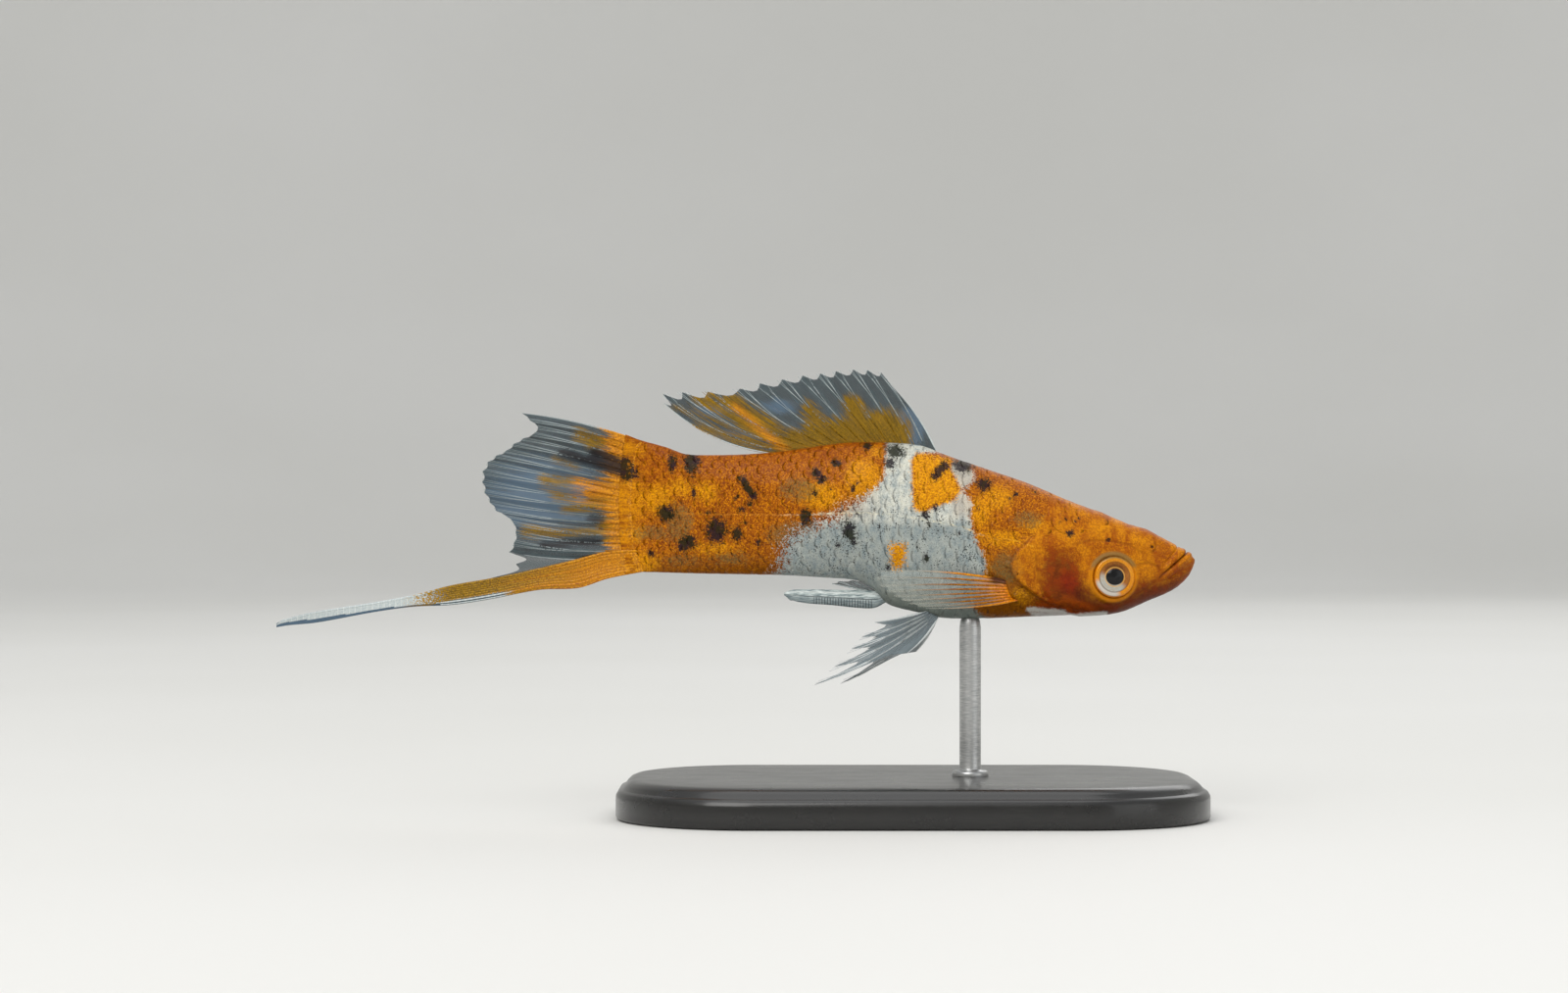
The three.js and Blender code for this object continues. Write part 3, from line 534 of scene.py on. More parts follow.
def grid_quads(rows, columns, start=0, around=False, flip=False):
    """Faces between rows of columns points each, closed round the columns if asked."""
    i = np.arange(rows - 1)[:, None]
    j = np.arange(columns if around else columns - 1)[None, :]
    k = (j + 1) % columns
    corners = [i * columns + j, i * columns + k, (i + 1) * columns + k, (i + 1) * columns + j]
    quads = np.stack(corners, axis=-1).reshape(-1, 4) + start
    return quads[:, ::-1] if flip else quads


def border(rows, columns):
    """The points round the edge of a grid, in order."""
    order = np.arange(rows * columns).reshape(rows, columns)
    return np.concatenate([order[0, :-1], order[:-1, -1], order[-1, :0:-1], order[:0:-1, 0]])


def sheet_faces(rows, columns, mirror=1):
    """Faces of a closed thin sheet from two grids of points, one after the other."""
    edge = border(rows, columns)
    following, size = np.roll(edge, -1), rows * columns
    wall = np.column_stack([edge, following, following + size, edge + size])
    return [
        grid_quads(rows, columns, flip=mirror > 0), grid_quads(rows, columns, size, flip=mirror < 0),
        wall if mirror > 0 else wall[:, ::-1],
    ]


def tube_faces(rows, around, start=0):
    """Faces of rings of points in a row, closed at both ends."""
    last = start + (rows - 1) * around
    ends = [
        face for k in range(1, around - 1)
        for face in ((start, start + k + 1, start + k), (last, last + k, last + k + 1))
    ]
    return [grid_quads(rows, around, start, around=True), np.array(ends)]


def turned(profile, spokes, at_x=0.0):
    """Rings of points about an upright axis from radii and heights."""
    turn = np.linspace(0, 2 * np.pi, spokes, endpoint=False)
    return np.vstack([
        np.column_stack([at_x + r * np.cos(turn), r * np.sin(turn), np.full(spokes, z)]) for r, z in profile
    ])


def bake_map(piece, places):
    """A UV map from a place for each point."""
    layer = piece.data.uv_layers.new(name="OFBake")
    corner = np.empty(len(piece.data.loops), dtype=np.int32)
    piece.data.loops.foreach_get("vertex_index", corner)
    layer.uv.foreach_set("vector", np.asarray(places, dtype=np.float32)[corner].ravel())
    piece.data.uv_layers.active = layer


def tubes(paths, radii, sides=6, squash=1.0):
    """Closed tapering tubes along paths, as points and faces; radii has one list a path."""
    points, quads, ends = [], [], []
    start = 0
    turn = np.linspace(0, 2 * np.pi, sides, endpoint=False)
    for path, radius in zip(paths, radii):
        tangent = np.gradient(path, axis=0)
        tangent /= np.linalg.norm(tangent, axis=1, keepdims=True)
        across = np.cross(tangent, (0, 1, 0))
        across /= np.linalg.norm(across, axis=1, keepdims=True)
        out = np.cross(across, tangent)
        ring = across[:, None] * np.cos(turn)[None, :, None]
        ring = ring + squash * out[:, None] * np.sin(turn)[None, :, None]
        points.append((path[:, None] + ring * radius[:, None, None]).reshape(-1, 3))
        side_faces, end_faces = tube_faces(len(path), sides, start)
        quads.append(side_faces)
        ends.append(end_faces)
        start += len(path) * sides
    return np.vstack(points), [np.vstack(quads), np.vstack(ends)]


# Shader maths


class Socket:
    """A node's output that ordinary arithmetic works on."""

    def __init__(self, paint, link):
        self.paint, self.link = paint, link

    def maths(self, operation, *values, clamp=False):
        wide = self.link.type in ("VECTOR", "RGBA")
        kind = "ShaderNodeVectorMath" if wide else "ShaderNodeMath"
        settings = {"operation": operation}
        if clamp:
            settings["use_clamp"] = True
        return self.paint.node(kind, settings, dict(enumerate(values)))

    def __add__(self, other):
        return self.maths("ADD", self, other)

    def __radd__(self, other):
        return self.maths("ADD", other, self)

    def __sub__(self, other):
        return self.maths("SUBTRACT", self, other)

    def __rsub__(self, other):
        return self.maths("SUBTRACT", other, self)

    def __mul__(self, other):
        return self.maths("MULTIPLY", self, other)

    def __rmul__(self, other):
        return self.maths("MULTIPLY", other, self)

    def limit(self):
        return self.maths("ADD", self, 0.0, clamp=True)

    def sine(self):
        return self.maths("SINE", self)

    def size(self):
        return self.maths("ABSOLUTE", self)

    def climb(self, low, high):
        """0 at low, 1 at high, and a soft change between."""
        return self.paint.node(
            "ShaderNodeMapRange", {"interpolation_type": "SMOOTHSTEP"},
            {"Value": self, "From Min": low, "From Max": high, "To Min": 0.0, "To Max": 1.0},
        )


class Paint:
    """A material under construction. Colours given as tuples are screen colours from 0 to 255."""

    def __init__(self, name):
        self.material = bpy.data.materials.new(name)
        self.material.use_nodes = True
        self.tree = self.material.node_tree
        self.tree.nodes.clear()

    def node(self, kind, settings=None, values=None, output=0):
        """A new node, with its settings and with values or sockets at its inputs."""
        made = self.tree.nodes.new(kind)
        for key, value in (settings or {}).items():
            setattr(made, key, value)
        for key, value in (values or {}).items():
            socket = made.inputs[key]
            if isinstance(value, Socket):
                self.tree.links.new(value.link, socket)
            elif socket.type == "RGBA":
                socket.default_value = (*(srgb(*value) if isinstance(value, tuple) else value), 1.0)
            elif socket.type == "VECTOR" and not hasattr(value, "__len__"):
                socket.default_value = (value, value, value)
            else:
                socket.default_value = value
        return Socket(self, made.outputs[output]) if made.outputs else None

    def field(self, name):
        """A field of the mesh."""
        return self.node("ShaderNodeAttribute", {"attribute_name": name}, output="Fac")

    def place(self, *stretch):
        """Where a point lies in the fish's own frame, stretched along the axes if asked."""
        found = self.node("ShaderNodeAttribute", {"attribute_name": "place"}, output="Vector")
        return found * stretch if stretch else found

    def noise(self, where, scale, detail=2.0, roughness=0.5):
        return self.node(
            "ShaderNodeTexNoise", None,
            {"Vector": where, "Scale": scale, "Detail": detail, "Roughness": roughness},
        )

    def ray_noise(self, along, across, scale, detail=2.0, roughness=0.5):
        """Noise that is drawn out along a fin's rays."""
        where = {0: self.field("along") * along, 1: self.field("ray") * across}
        return self.noise(self.node("ShaderNodeCombineXYZ", None, where), scale, detail, roughness)

    def cells(self, where, scale, randomness):
        return self.node(
            "ShaderNodeTexVoronoi", {"feature": "F1"},
            {"Vector": where, "Scale": scale, "Randomness": randomness},
        )

    def mix(self, share, low, high):
        """Colour low where share is 0 and high where it is 1."""
        return self.node("ShaderNodeMix", {"data_type": "RGBA"}, {0: share, 6: low, 7: high}, output=2)

    def layers(self, colour, *coats):
        """A colour under coats, each of them the share that it covers and its own colour."""
        for share, coat in coats:
            colour = self.mix(share, colour, coat)
        return colour

    def dimmed(self, colour, *shares):
        """A colour with only shares of its red, green and blue left."""
        return self.node(
            "ShaderNodeMix", {"data_type": "RGBA", "blend_type": "MULTIPLY"},
            {0: 1.0, 6: colour, 7: [*shares]}, output=2,
        )

    def relief(self, height, distance, strength=1.0):
        """Fine relief, distance millimetres deep where height goes from 0 to 1."""
        return self.node(
            "ShaderNodeBump", None, {"Strength": strength, "Distance": distance * MM, "Height": height},
            output="Normal",
        )

    def finish(self, colour, roughness, **sockets):
        """The material, with further sockets of its shader by name."""
        values = {"Base Color": colour, "Roughness": roughness}
        values.update({key.replace("_", " "): value for key, value in sockets.items()})
        shader = self.node("ShaderNodeBsdfPrincipled", None, values, output="BSDF")
        self.node("ShaderNodeOutputMaterial", None, {"Surface": shader})
        return self.material


def srgb(red, green, blue):
    """A linear colour from the usual 0 to 255 values."""
    shares = (red / 255, green / 255, blue / 255)
    return tuple(v / 12.92 if v <= 0.04045 else ((v + 0.055) / 1.055) ** 2.4 for v in shares)


def screen_colour(name, description, red, green, blue):
    """A colour to choose in the panel."""
    return FloatVectorProperty(
        name=name, description=description, subtype="COLOR", size=3, min=0, max=1,
        default=srgb(red, green, blue),
    )


class FishColours(bpy.types.PropertyGroup):
    """Colours of the skin and the fins"""

    orange: screen_colour("Orange", "Main colour of the flanks", 202, 114, 4)
    rust: screen_colour("Rust", "Dark grains in the orange", 108, 44, 2)
    gold: screen_colour("Gold", "Bright yellow areas", 240, 164, 2)
    pale: screen_colour("Pale", "Grey-white areas of the flanks", 214, 213, 198)
    black: screen_colour("Black", "Blotches and dots", 12, 12, 14)
    clear: screen_colour("Clear membrane", "Smoky parts of the fins", 34, 44, 50)


class FishSizes(bpy.types.PropertyGroup):
    """Sizes of the scales and the fins"""

    scale_step: FloatProperty(
        name="Scale step", description="Distance between scales along a row", default=1.3 * MM, min=0.8 * MM,
        max=3 * MM, unit="LENGTH", subtype="DISTANCE", precision=5,
    )
    scale_rows: IntProperty(
        name="Scale rows", description="Rows of scales from back to belly on a flank", default=17, min=8,
        max=30,
    )
    web: FloatProperty(
        name="Membrane thickness", description="Thickness of the fins' membranes at their roots",
        default=0.1 * MM, min=0.02 * MM, max=0.5 * MM, unit="LENGTH", subtype="DISTANCE", precision=5,
    )


# Materials of the fish


def grained_orange(p, place):
    """Orange with rusty grains and gold flecks, and the noises that make them."""
    colours = bpy.context.scene.swordtail_colours
    grain = p.noise(place, 5.0, 3.0, 0.65).climb(0.39, 0.61)
    speck = p.noise(place, 9.5, 2.0, 0.6).climb(0.43, 0.57)
    patch = p.noise(place, 0.75, 3.0, 0.55).climb(0.36, 0.64)
    grained = (grain * 0.58 + speck * 0.42) * 0.86 + patch * 0.14
    orange = p.mix(grained, colours.rust, colours.orange)
    orange = p.mix(speck * grain.climb(0.55, 0.95) * 0.42, orange, colours.gold)
    return orange, grain, speck, patch


def skin_material(name, on_scales):
    """Grained orange with a pale saddle, yellow, olive and rust areas, black blotches, a light lateral line,
    and painted shade in the head's folds, along the gill cover's edge and low on the body.
    """
    colours = bpy.context.scene.swordtail_colours
    p = Paint(name)
    place = p.place()
    orange, grain, speck, patch = grained_orange(p, place)
    ragged = p.noise(place, 2.6, 4.0, 0.7) - 0.5
    torn = p.noise(place, 5.5, 3.0, 0.6) - 0.5
    dither = (grain - 0.5) * 0.9 + (speck - 0.5) * 0.8
    height, gill = p.field("height"), p.field("gill")
    ahead = p.node("ShaderNodeSeparateXYZ", None, {0: place}, output=0)
    on_head = gill.climb(-0.1, 0.5)

    # Orange flanks, darker over the back, darker below partly in their own tone and partly as painted shade
    # from light above, and streaked where they cover the tail's rays
    back = height.climb(12.0, 18.0) * (1.0 - patch * 0.5)
    # Darker below: partly the flank's own tone, partly painted shade from light above
    low_flank_tone_and_shade = height.climb(8.0, 3.5) * (1.0 - on_head)
    gold_share = (p.field("gold") + ragged * 2.0).climb(-0.4, 0.9)
    streaks = p.noise(place * (0.14, 1.0, 1.6), 2.0, 4.0, 0.65).climb(0.36, 0.64)
    tail_root = (ahead + ragged * 2.4).climb(-32.2, -35.0)
    olive_share = (p.field("olive") + ragged * 2.4 + torn).climb(-0.3, 0.5)
    colour = p.layers(
        orange,
        (back * (0.34 + speck * 0.26), (138, 60, 4)),
        (low_flank_tone_and_shade * (0.5 + speck * 0.3), (112, 68, 6)),
        (gold_share * (0.14 + grain * 0.4 + speck * 0.3), colours.gold),
        (tail_root * 0.45, p.mix(streaks, (140, 66, 2), (238, 154, 4))),
        (olive_share * (0.12 + speck * 0.62), (104, 98, 58)),
    )

    # The head's clouds, its rusty lower half, a darker lower jaw that is partly its own rust and partly
    # painted shade, and the blush of the gills
    smoother = p.mix(grain * 0.5 + 0.2, (160, 78, 4), (206, 126, 6))
    head_patch = p.noise(place, 0.95, 4.0, 0.65).climb(0.40, 0.60)
    head_cloud = p.noise(place * (1.3, 1.0, 0.9), 0.42, 3.0, 0.6).climb(0.42, 0.58)
    rust_share = (p.field("rust") + ragged * 1.6 + (head_patch - 0.5) * 0.8).climb(-1.0, 1.2)
    rusty = p.mix(head_patch * 0.6 + speck * 0.2, (88, 26, 2), (150, 60, 2))
    # The lower jaw's dark rust is partly painted shade
    low_jaw_rust_and_shade = height.climb(4.6, 1.8) * gill.climb(1.2, 2.0)
    blush = (p.field("blush") + ragged * 1.4 + torn * 0.8).climb(-0.7, 0.7)
    colour = p.layers(
        colour,
        (on_head * 0.5, smoother),
        (on_head * head_patch * 0.5, (148, 62, 2)),
        (on_head * head_cloud * (0.3 + grain * 0.3), (226, 146, 8)),
        (rust_share * 0.9, rusty),
        (low_jaw_rust_and_shade * 0.6, (66, 16, 2)),
        (blush * (0.3 + grain * 0.25), (148, 22, 6)),
    )

    # Pale flanks: cool grey-white with rows of fine dots, plain at the belly and painted darker grey there as
    # shade, with a bluish band above that is partly painted shade, warm towards the orange
    dusk = p.noise(place * (1.0, 1.0, 0.55), 1.3, 3.0, 0.6).climb(0.34, 0.66)
    # Plain at the belly, and painted darker grey there as shade from light above
    belly = height.climb(5.5, 1.5)
    # A bluish grey band over the lower flank, partly its own tone and partly painted shade
    bluish_tone_and_shade = height.climb(10.4, 9.2) * height.climb(2.0, 4.5)
    chance = p.noise(place * (1.0, 1.0, 0.6), 1.6, 2.0, 0.5).climb(0.38, 0.62)
    dot_size = (0.05 + chance * 0.30) * (1.0 - belly) * (1.0 - height.climb(10.6, 12.5) * 0.3)
    dotted = (dot_size - p.cells(place, 4.6, 0.95)).climb(-0.04, 0.06)
    fine_dots = (0.40 - p.cells(place, 9.5, 1.0)).climb(0.0, 0.16) * (1.0 - belly * 0.8)
    rear = ahead.climb(-8.9, -13.5)
    warm = (rear + ahead.climb(-2.6, -1.4) * 0.8) * height.climb(9.6, 11.4)
    yellow_in_pale = p.noise(place, 0.8, 3.0, 0.6).climb(0.50, 0.60) * height.climb(9.5, 12.0) * rear
    pale = p.layers(
        p.mix(dusk, (150, 160, 160), colours.pale),
        (grain * 0.5, (226, 228, 220)),
        (belly * 0.9, (114, 124, 118)),
        (bluish_tone_and_shade * 0.55, (122, 138, 142)),
        (fine_dots * 0.5, (96, 100, 98)),
        (dotted * 0.86, (48, 52, 54)),
        (warm * 0.55, (188, 166, 144)),
        (yellow_in_pale * (0.3 + grain * 0.5), (206, 140, 24)),
    )
    edge = p.field("pale") + ragged * (1.3 + rear * 2.2) + torn * 1.0 + dither * (0.22 + rear * 1.1)
    pale_share = edge.climb(-0.2, 0.24)
    yellow_share = (p.field("yellow") + ragged * 1.5 + torn * 1.3 + dither * 0.4).climb(-0.14, 0.16)
    bright = p.mix(grain * 0.6 + speck * 0.4, (176, 98, 4), (246, 172, 8))

    # The lateral line is a fine light seam, and the throat has two white streaks
    line_front = p.field("line_front")
    worn = p.noise(place, 2.4, 3.0, 0.65).climb(0.40, 0.58) * line_front.climb(-0.1, 0.45)
    line_share = (p.field("line") + torn * 0.3 - 0.04).climb(-0.03, 0.07) * (0.25 + worn * 0.75)
    line_colour = p.mix(line_front.climb(0.72, 0.95), (232, 226, 196), (236, 170, 40))
    line_colour = p.mix(line_front.climb(0.42, 0.25), line_colour, (224, 146, 44))
    throat = (p.field("throat") + ragged * 0.5).climb(-0.1, 0.2)

    # Black blotches with torn edges, some of them olive or purple
    black_field = p.field("black") + 0.10 + ragged * 2.3 + torn * 2.2 + (speck - 0.5) * 0.35
    tinge = p.noise(place, 0.9, 1.0, 0.5).climb(0.44, 0.56)
    soot = p.mix(grain * 0.5, p.mix(tinge, (30, 34, 12), (32, 22, 34)), colours.black)

    # The folds of the head, the rim of the eye's socket, the mouth and the gill cover's edge; the folds, the
    # nostril, the mouth's slit and the strip behind the gill cover's edge get painted shade
    # Painted shade in the head's folds
    fold_shade_share = p.field("groove").climb(0.22, 0.02) * on_head
    orbit = p.field("orbit")
    ring = orbit.climb(2.75, 2.45) * (1.0 - orbit.climb(2.2, 2.1))
    lid = ring * (p.field("orbit_up") + ragged * 0.4).climb(0.25, 0.6)
    # Painted shadow under the gill cover's edge
    seam = (gill + 0.03).size().climb(0.16, 0.02) * height.climb(9.0, 7.6) * height.climb(0.4, 1.6)
    colour = p.layers(
        colour,
        (pale_share, pale),
        (yellow_share, bright),
        (line_share * (0.72 + grain * 0.25), line_colour),
        (throat * 0.85, (206, 206, 200)),
        (black_field.climb(-0.8, 0.05) * 0.22, (74, 62, 16)),
        (black_field.climb(-0.06, 0.16) * 0.93, soot),
        (fold_shade_share * (0.10 + grain * 0.34), (104, 42, 2)),
        # Painted shade in the nostril's pit
        (p.field("nostril").climb(0.24, 0.10) * 0.85, (54, 18, 4)),
        (ring * 0.5, (222, 140, 10)),
        (lid * 0.7, (112, 100, 62)),
        # Painted shade in the mouth's slit
        (p.field("mouth").climb(0.16, 0.03) * 0.6, (84, 34, 8)),
        (seam * (0.2 + grain * 0.25), (92, 44, 14)),
    )

    gloss = 0.40 + grain * 0.12 - pale_share * 0.06
    relief = grain * 0.5 + speck * 0.3 + tail_root * streaks * 0.8
    if on_scales:
        rim, tint = p.field("rim").climb(0.80, 1.0), p.field("tint").climb(0.3, 0.0)
        colour = p.mix(rim * 0.10, colour, p.dimmed(colour, 0.55, 0.5, 0.48))
        colour = p.mix(tint * 0.16, colour, p.dimmed(colour, 0.6, 0.55, 0.5))
        relief = relief + (p.field("circle") * 44.0).sine() * 0.22
        gloss = gloss - 0.04
    normal = p.relief(relief, 0.035, 0.8)
    return p.finish(
        colour, gloss, Normal=normal, Coat_Weight=0.07, Coat_Roughness=0.1, Specular_IOR_Level=0.08,
    )


# Operators: the fish's pieces


class SWORDTAIL_OT_skin(bpy.types.Operator):
    """One closed skin over head, jaw, gill covers, trunk and tail stalk"""

    bl_idname = "swordtail.skin"
    bl_label = "Skin"

    # How far the rings that close the snout have shrunk, and how far ahead the last one stands
    SNOUT_RINGS = (0.35, 0.62, 0.82, 0.94, 1.0)
    SNOUT_DEPTH = 0.16

    def execute(self, context):
        surface = make_surface()
        rings = np.concatenate([surface.points * (1, -1, 1), surface.points[:, -2:0:-1]], axis=1)
        stations, around = rings.shape[:2]
        # The snout closes over a few shrinking rings, and the tail end in one point
        snout, tail = rings[-1], rings[0]
        extra = []
        for share in self.SNOUT_RINGS:
            ring = snout.mean(0) + (snout - snout.mean(0)) * max(1e-3, math.sqrt(1 - share**2))
            ring[:, 0] += self.SNOUT_DEPTH * share - 0.14
            extra.append(ring)
        points = np.vstack([rings.reshape(-1, 3), *extra, tail.mean(0)[None]])
        rows = stations + len(extra)
        hub, top = len(points) - 1, (rows - 1) * around
        j = np.arange(around)
        tail_end = np.column_stack([np.full(around, hub), (j + 1) % around, j])
        snout_end = np.array([(top, top + k, top + k + 1) for k in range(1, around - 1)])
        mesh_object(
            "skin", points, [grid_quads(rows, around, around=True), tail_end, snout_end], markings(points),
            material=skin_material("skin", False), slot="orange_skin",
            nodes=("head", "lower_jaw", "gill_cover_right", "gill_cover_left", "trunk", "tail_stalk"),
        )
        return {"FINISHED"}


class SWORDTAIL_OT_scales(bpy.types.Operator):
    """Thin overlapping scales over the trunk, the tail stalk and the nape"""

    bl_idname = "swordtail.scales"
    bl_label = "Scales"

    FIRST_X, LAST_X = 14.2, -34.6
    # Where the dorsal fin's root takes the place of the ridge's scales
    UNDER_DORSAL = (-18.8, -3.0)
    # How many points a plate has along its diameter, and how much longer and wider than its step it is
    ACROSS = 9
    LONGER, WIDER = 1.28, 1.12
    # Size of a plate on the map that the bake uses
    PLATE_ON_MAP = 0.0015

    def execute(self, context):
        sizes = context.scene.swordtail_sizes
        surface = make_surface()
        step, rows = sizes.scale_step / MM, sizes.scale_rows
        draw = np.random.default_rng(11)
        material = skin_material("scales", True)
        centres = {"right": [], "left": []}
        for row in range(rows + 1):
            share = row / rows
            for k in range(int(50 / step) + 2):
                x = self.FIRST_X - (k + 0.5 * (row % 2)) * step
                wobble = draw.normal(0, 1, 5)
                if x < self.LAST_X or row == 0 and self.UNDER_DORSAL[0] < x < self.UNDER_DORSAL[1]:
                    continue
                spot, _ = surface.at(np.array(x), np.array(share))
                if scaly(spot[None, 0], spot[None, 2])[0] < 0.9:
                    continue
                centres["right"].append((x, share, wobble))
                if row not in (0, rows):
                    centres["left"].append((x, share, wobble[::-1]))
        for side, mirror in (("right", -1), ("left", 1)):
            self.coat(f"scales_{side}", surface, centres[side], step, rows, mirror, material)
        return {"FINISHED"}

    def coat(self, name, surface, centres, step, rows, mirror, material):
        """One joined mesh of closed plates, each domed, sunk at its root and free at its rear edge."""
        across = self.ACROSS
        a, b = np.meshgrid(np.linspace(-1, 1, across), np.linspace(-1, 1, across), indexing="ij")
        back = (a * np.sqrt(1 - b**2 / 2)).ravel()
        side = (b * np.sqrt(1 - a**2 / 2)).ravel()
        out = np.hypot(back, side)
        ring = border(across, across)
        plate = grid_quads(across, across)
        under = np.column_stack([np.full(len(ring), across * across), np.roll(ring, -1), ring])
        count = across * across + 1
        points, fields, places = [], [], []
        for x, share, wobble in centres:
            small = 0.82 + 0.18 * smooth(-33, -26, np.array(x))
            nape = smooth(3, 8, np.array(x))
            length = step * self.LONGER * small * (1 + 0.05 * wobble[0])
            half = (self.WIDER + 0.04 * wobble[1]) / rows
            tilt = 0.05 * wobble[2]
            along = back * math.cos(tilt) - side * math.sin(tilt)
            over = side * math.cos(tilt) + back * math.sin(tilt)
            at_x = x - along * length * 0.95
            skin, normal = surface.at(at_x, share + over * half)
            # The root is sunk, the free edge stands out, less on the nape and where the tail thins out
            lift = -0.012 + (0.043 - 0.02 * nape) * smooth(-1.1, 1.0, along) + 0.005 * wobble[3]
            lift = lift + 0.02 * (1 - over**2) - 0.012 * smooth(0.8, 1.0, out)
            lift = lift * (0.65 + 0.35 * small) * smooth(-36.4, -32, at_x)
            centre, centre_normal = surface.at(np.array([x]), np.array([share]))
            points.append(np.vstack([skin + normal * lift[:, None], centre - centre_normal * COAT_DEPTH]))
            rim = np.append(smooth(-0.2, 1.0, along) * out, 0.0)
            tint = np.full(count, np.clip(0.5 + 0.25 * wobble[4], 0, 1))
            circle = np.append(np.hypot(along + 0.6, over * 0.8), 0.0)
            fields.append(np.column_stack([rim, tint, circle]))
            middle = (0.03 + 0.94 * (x + 34.5) / 58.0, 0.5 - mirror * (0.01 + 0.48 * share))
            plate_map = np.column_stack([back, side]) * self.PLATE_ON_MAP
            places.append(np.vstack([plate_map, (0, 0)]) + middle)
        points = np.vstack(points) * (1, mirror, 1)
        first = np.arange(len(centres))[:, None, None] * count
        faces = [(shape[None] + first).reshape(-1, shape.shape[1]) for shape in (plate, under)]
        if mirror < 0:
            faces = [f[:, ::-1] for f in faces]
        lit = np.repeat([True, False], [len(f) for f in faces])
        fields = dict(zip(("rim", "tint", "circle"), np.vstack(fields).T))
        piece = mesh_object(name, points, faces, {**markings(points), **fields}, lit, material, "orange_skin")
        bake_map(piece, np.vstack(places))


class SWORDTAIL_OT_eyes(bpy.types.Operator):
    """Both eyes, with ringed iris, domed pupil and wet gloss"""

    bl_idname = "swordtail.eyes"
    bl_label = "Eyes"

    # The dome's height at radii from the middle of the pupil
    RADII = [0, 0.5, 0.8, 0.93, 1.0, 1.3, 1.58, 1.66, 1.78, 1.95, 2.08, EYE_RADIUS]
    HEIGHTS = [0.50, 0.44, 0.33, 0.24, 0.225, 0.20, 0.19, 0.165, 0.21, 0.19, 0.08, -0.12]
    DEPTH = 0.75
    SPOKES = 72

    def execute(self, context):
        surface = Surface(np.linspace(9, 20, 56), np.linspace(0, 1, 131))
        i = int(np.argmin(np.abs(surface.xs - EYE_AT[0])))
        j = int(np.argmin(np.abs(surface.base[i, :, 2] - EYE_AT[1])))
        centre, axis = surface.base[i, j].copy(), surface.normal[i, j]
        material = eye_material()
        spokes = self.SPOKES
        radius = np.concatenate([np.linspace(0.02, 1.0, 24), np.linspace(1.03, EYE_RADIUS, 40)])
        height = np.interp(radius, self.RADII, self.HEIGHTS)
        height = np.convolve(np.pad(height, 2, mode="edge"), np.array([1, 2, 3, 2, 1]) / 9, mode="valid")
        turn = np.linspace(0, 2 * np.pi, spokes, endpoint=False)
        fore = np.cross((0, 0, 1), axis)
        fore *= np.sign(fore[0]) / np.linalg.norm(fore)
        up = np.cross(axis, fore)
        up *= np.sign(up[2])
        flat = radius[:, None, None] * (
            np.cos(turn)[None, :, None] * fore + 0.98 * np.sin(turn)[None, :, None] * up
        )
        dome = (centre + flat + height[:, None, None] * axis).reshape(-1, 3)
        edge = centre + flat[-1] * 0.8 - self.DEPTH * axis
        points = np.vstack([dome, edge, centre - self.DEPTH * axis, centre + axis * height[0]])
        rows = len(radius) + 1
        hub, last = rows * spokes, (rows - 1) * spokes
        k = np.arange(spokes)
        under = np.column_stack([np.full(spokes, hub), last + (k + 1) % spokes, last + k])
        front = np.column_stack([np.full(spokes, hub + 1), k, (k + 1) % spokes])
        out = np.concatenate([np.repeat(radius, spokes), np.full(spokes, 2.2), [2.2, 0.0]])
        angle = np.concatenate([np.tile(turn, rows), [0, 0]])
        fields = {"eye_out": out, "eye_up": np.sin(angle), "eye_fore": np.cos(angle)}
        outward = np.cross(fore, up) @ axis > 0
        for side, mirror in (("right", -1), ("left", 1)):
            faces = [grid_quads(rows, spokes, around=True), under, front]
            if (mirror < 0) == outward:
                faces = [f[:, ::-1] for f in faces]
            mesh_object(
                f"eye_globe_{side}", points * (1, mirror, 1), faces, fields, None, material, "eye",
                (f"eye_{side}",),
            )
        return {"FINISHED"}


def eye_material():
    """Pupil, brown and silver iris and orange outer ring, from the distance to the pupil's middle."""
    p = Paint("eye")
    out, up, fore = p.field("eye_out"), p.field("eye_up"), p.field("eye_fore")
    place = p.place()
    grain = p.noise(place, 8.0, 3.0, 0.6)
    fine = p.noise(place, 22.0, 2.0, 0.6)
    # The iris is silver below and brown in the lid's shade, with a gold edge round the pupil
    tilt = up * 0.80 + fore * 0.45
    iris = p.layers(
        p.mix(tilt.climb(-0.55, 0.05), (188, 194, 190), (160, 84, 8)),
        (grain.climb(0.42, 0.6) * 0.35, (206, 150, 60)),
        (fine.climb(0.5, 0.62) * 0.4, (96, 74, 48)),
        (up.climb(0.1, 0.9) * out.climb(1.62, 1.1) * 0.75, (70, 36, 6)),
        ((out - 0.99).size().climb(0.09, 0.02) * 0.7, (232, 176, 84)),
    )
    # The ring round it is orange, silver at the lower rear and olive on top
    lower_rear = (up * 0.85 + fore * 0.52).climb(-0.55, -0.85)
    ring = p.layers(
        p.mix(grain.climb(0.42, 0.6) * 0.4, (216, 130, 6), (246, 176, 30)),
        (lower_rear * out.climb(2.12, 1.9) * 0.85, (196, 200, 196)),
        (up.climb(0.45, 0.9) * out.climb(1.8, 2.05) * 0.75, (104, 96, 58)),
    )
    pupil_out = out * (1.0 + up * up * 0.12) + (grain - 0.5) * 0.06
    pupil = pupil_out.climb(0.96, 0.90)
    colour = p.layers(
        iris, (out.climb(1.50, 1.62), ring), ((out - 1.56).size().climb(0.10, 0.02) * 0.55, (84, 50, 10)),
        (pupil, (5, 5, 7)),
    )
    normal = p.relief((1.0 - pupil) * fine, 0.02, 0.5)
    return p.finish(
        colour, 0.32, Metallic=(1.0 - pupil) * 0.35, Normal=normal, Coat_Weight=0.55, Coat_Roughness=0.03,
        Coat_IOR=1.45, Specular_IOR_Level=0.1,
    )


# Fins


